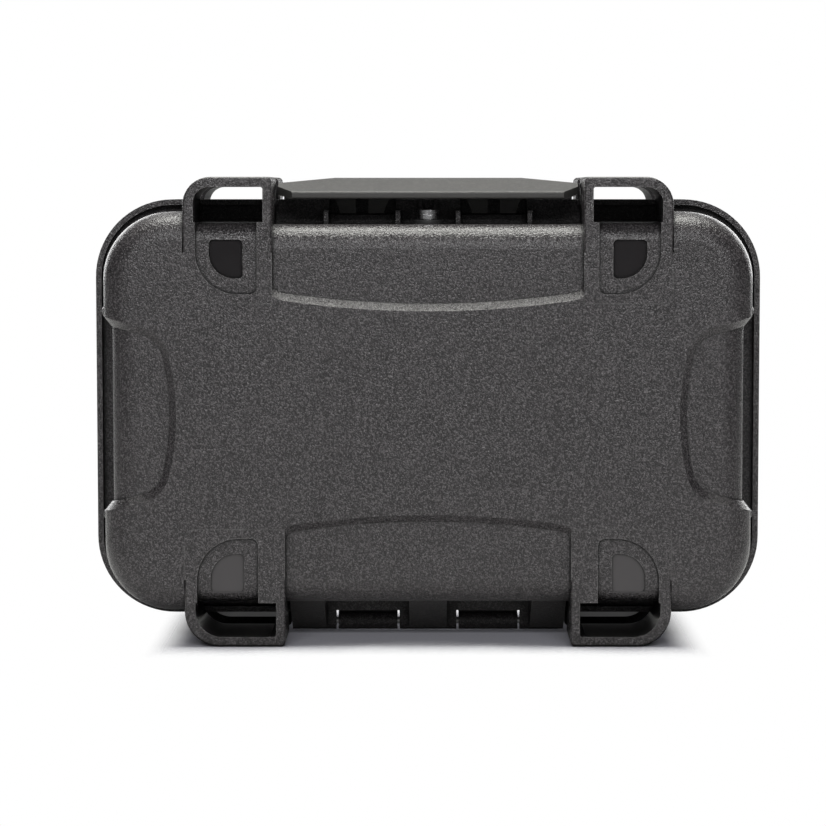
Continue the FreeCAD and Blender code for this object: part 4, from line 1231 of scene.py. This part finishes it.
@dataclass
class Studio:
    """The pale floor, the white surround, the lamps and the camera.

    Lengths are in metres, the pitch in degrees, and the focal length, the frame's width
    and the side shift in pixels of the photograph.
    """

    floor_half: float = 6.0
    floor_level: float = -0.0001
    # The paper shows only near the case's foot, where its grey is painted shade along with the
    # real shadow.
    paper: tuple[Colour, Colour] = ((0.53, 0.53, 0.59, 1.0), (0.57, 0.57, 0.63, 1.0))
    fibre_noise: Place = (900.0, 3.0, 0.5)
    fibre_span: Span = (0.3, 0.7)
    bounce: float = 0.7
    contact: float = 0.03
    contact_span: Span = (0.5, 0.97)
    foot_ends: Span = (0.084, 0.1)
    front_level: float = 0.3
    front_span: Span = (-0.95, -0.55)
    back_level: float = 0.6
    back_span: Span = (0.3, 0.8)
    back_rise: Span = (0.1, 0.35)
    dim_level: float = 0.05
    dim_rise: Span = (0.0, 0.35)
    under_level: float = 0.15
    under_rise: Span = (-0.2, -0.05)
    eye: Place = (0.0, -1.040, 0.1615)
    pitch: float = 4.49
    focal: float = 2854.0
    frame_width: float = 826.0
    side_shift: float = -15.0
    clip: Span = (0.01, 50.0)
    lamps: tuple[Softbox, ...] = (
        Softbox("softbox_top", (0.0, 0.02, 0.62), (0.0, 0.02, 0.1), (0.5, 0.24), 4.4,
                (1.0, 1.0, 0.95)),
        Softbox("softbox_front", (0.0, -1.3, 0.72), (0.0, 0.0, 0.09), (1.2, 0.2), 8.6),
        Softbox("strip_left", (-0.45, 0.8, 0.3), (-0.1, 0.0, 0.1), (0.5, 0.4), 2.2),
        Softbox("strip_right", (0.45, 0.8, 0.3), (0.1, 0.0, 0.1), (0.5, 0.4), 2.2),
    )

    def build(self) -> None:
        """Build the whole set."""
        self.floor()
        self.surround()
        for lamp in self.lamps:
            lamp.build()
        self.camera()
        bpy.context.scene.view_settings.view_transform = "Standard"

    def floor(self) -> None:
        """Lay the floor, which shows only the shadow at the case's foot, partly real and partly
        painted shade.
        """
        half = self.floor_half
        mesh = bpy.data.meshes.new("floor")
        corners = [(-half, -half), (half, -half), (half, half), (-half, half)]
        mesh.from_pydata([(x, y, self.floor_level) for x, y in corners], [], [(0, 1, 2, 3)])
        mesh.materials.append(self.floor_material())
        piece = put("floor", mesh)

    def floor_material(self) -> Material:
        """Make paper that clears to the white surround away from the case's foot.

        Lamps shine through it, so that the opened lid shows below its level.

        Returns:
            The floor's material.
        """
        material = bpy.data.materials.new("floor_paper")
        material.use_nodes = True
        material.node_tree.nodes.clear()
        sheet = NodeSheet(material.node_tree)
        place = sheet.add("ShaderNodeTexCoord")["Object"]
        rays = sheet.add("ShaderNodeLightPath")
        fibres = sheet.step(sheet.noise(place, *self.fibre_noise), *self.fibre_span)
        matt, dull = (sheet.add("ShaderNodeBsdfDiffuse", {"Color": colour})[0]
                      for colour in (sheet.mix(fibres, *self.paper), grey(self.bounce)))
        clear = sheet.add("ShaderNodeBsdfTransparent")[0]
        # Near the foot, found by ambient occlusion, the floor is paper lit by the lamps: real
        # shadow, plus painted shade since the paper is darker than the white around it. Past the
        # feet's ends it clears to white.
        near = sheet.add("ShaderNodeAmbientOcclusion", {"Distance": self.contact}, samples=8)["AO"]
        across = sheet.maths("ABSOLUTE", sheet.add("ShaderNodeSeparateXYZ", {0: place})[0])
        fade = sheet.maths("MAXIMUM", sheet.step(near, *self.contact_span),
                           sheet.step(across, *self.foot_ends))
        by_eye, shadow = background_share(sheet, rays), rays[Ray.SHADOW.value]
        seen = sheet.add("ShaderNodeMixShader", {0: fade, 1: matt, 2: clear})[0]
        lit = sheet.add("ShaderNodeMixShader", {0: shadow, 1: dull, 2: clear})[0]
        shown = sheet.add("ShaderNodeMixShader", {0: by_eye, 1: lit, 2: seen})[0]
        sheet.add("ShaderNodeOutputMaterial", {"Surface": shown})
        return material

    def surround(self) -> None:
        """Make the surround white to the eye, and pale only in parts to what it lights."""
        world = bpy.data.worlds.new("surround")
        world.use_nodes = True
        world.node_tree.nodes.clear()
        bpy.context.scene.world = world
        sheet = NodeSheet(world.node_tree)
        rays = sheet.add("ShaderNodeLightPath")
        way = sheet.add("ShaderNodeTexCoord")["Generated"]
        _, depth, height = sheet.add("ShaderNodeSeparateXYZ", {0: way})
        ahead = sheet.step(depth, *self.front_span, self.front_level, 0.0)
        behind = sheet.maths("MULTIPLY", sheet.step(depth, *self.back_span, 0.0, self.back_level),
                             sheet.step(height, *self.back_rise))
        dim = sheet.step(height, *self.dim_rise, self.dim_level / 4, self.dim_level)
        over = sheet.maths("MAXIMUM", sheet.maths("MAXIMUM", ahead, behind), dim)
        over = sheet.maths("MULTIPLY", over, sheet.maths("GREATER_THAN", height, 0.0))
        under = sheet.step(height, *self.under_rise, self.under_level, 0.0)
        level = sheet.maths("MAXIMUM", sheet.maths("MAXIMUM", over, under),
                            background_share(sheet, rays))
        back = sheet.add("ShaderNodeBackground", {"Color": grey(1.0), "Strength": level})[0]
        sheet.add("ShaderNodeOutputWorld", {"Surface": back})

    def camera(self) -> None:
        """Set the camera up at the photograph's angle."""
        lens = bpy.data.cameras.new("camera")
        lens.sensor_width = 36.0
        lens.lens = self.focal * lens.sensor_width / self.frame_width
        lens.shift_x = self.side_shift / self.frame_width
        lens.clip_start, lens.clip_end = self.clip
        piece = put("camera", lens)
        piece.location = self.eye
        piece.rotation_euler = (math.radians(90.0 - self.pitch), 0.0, 0.0)
        bpy.context.scene.camera = piece


def main() -> None:
    """Build the case's looks in order."""
    logging.basicConfig(level=logging.INFO, format="%(message)s")
    wardrobe = Wardrobe()
    Hardware(wardrobe).dress()
    FoamPads(wardrobe).build()
    Studio().build()


if __name__ == "__main__":
    main()
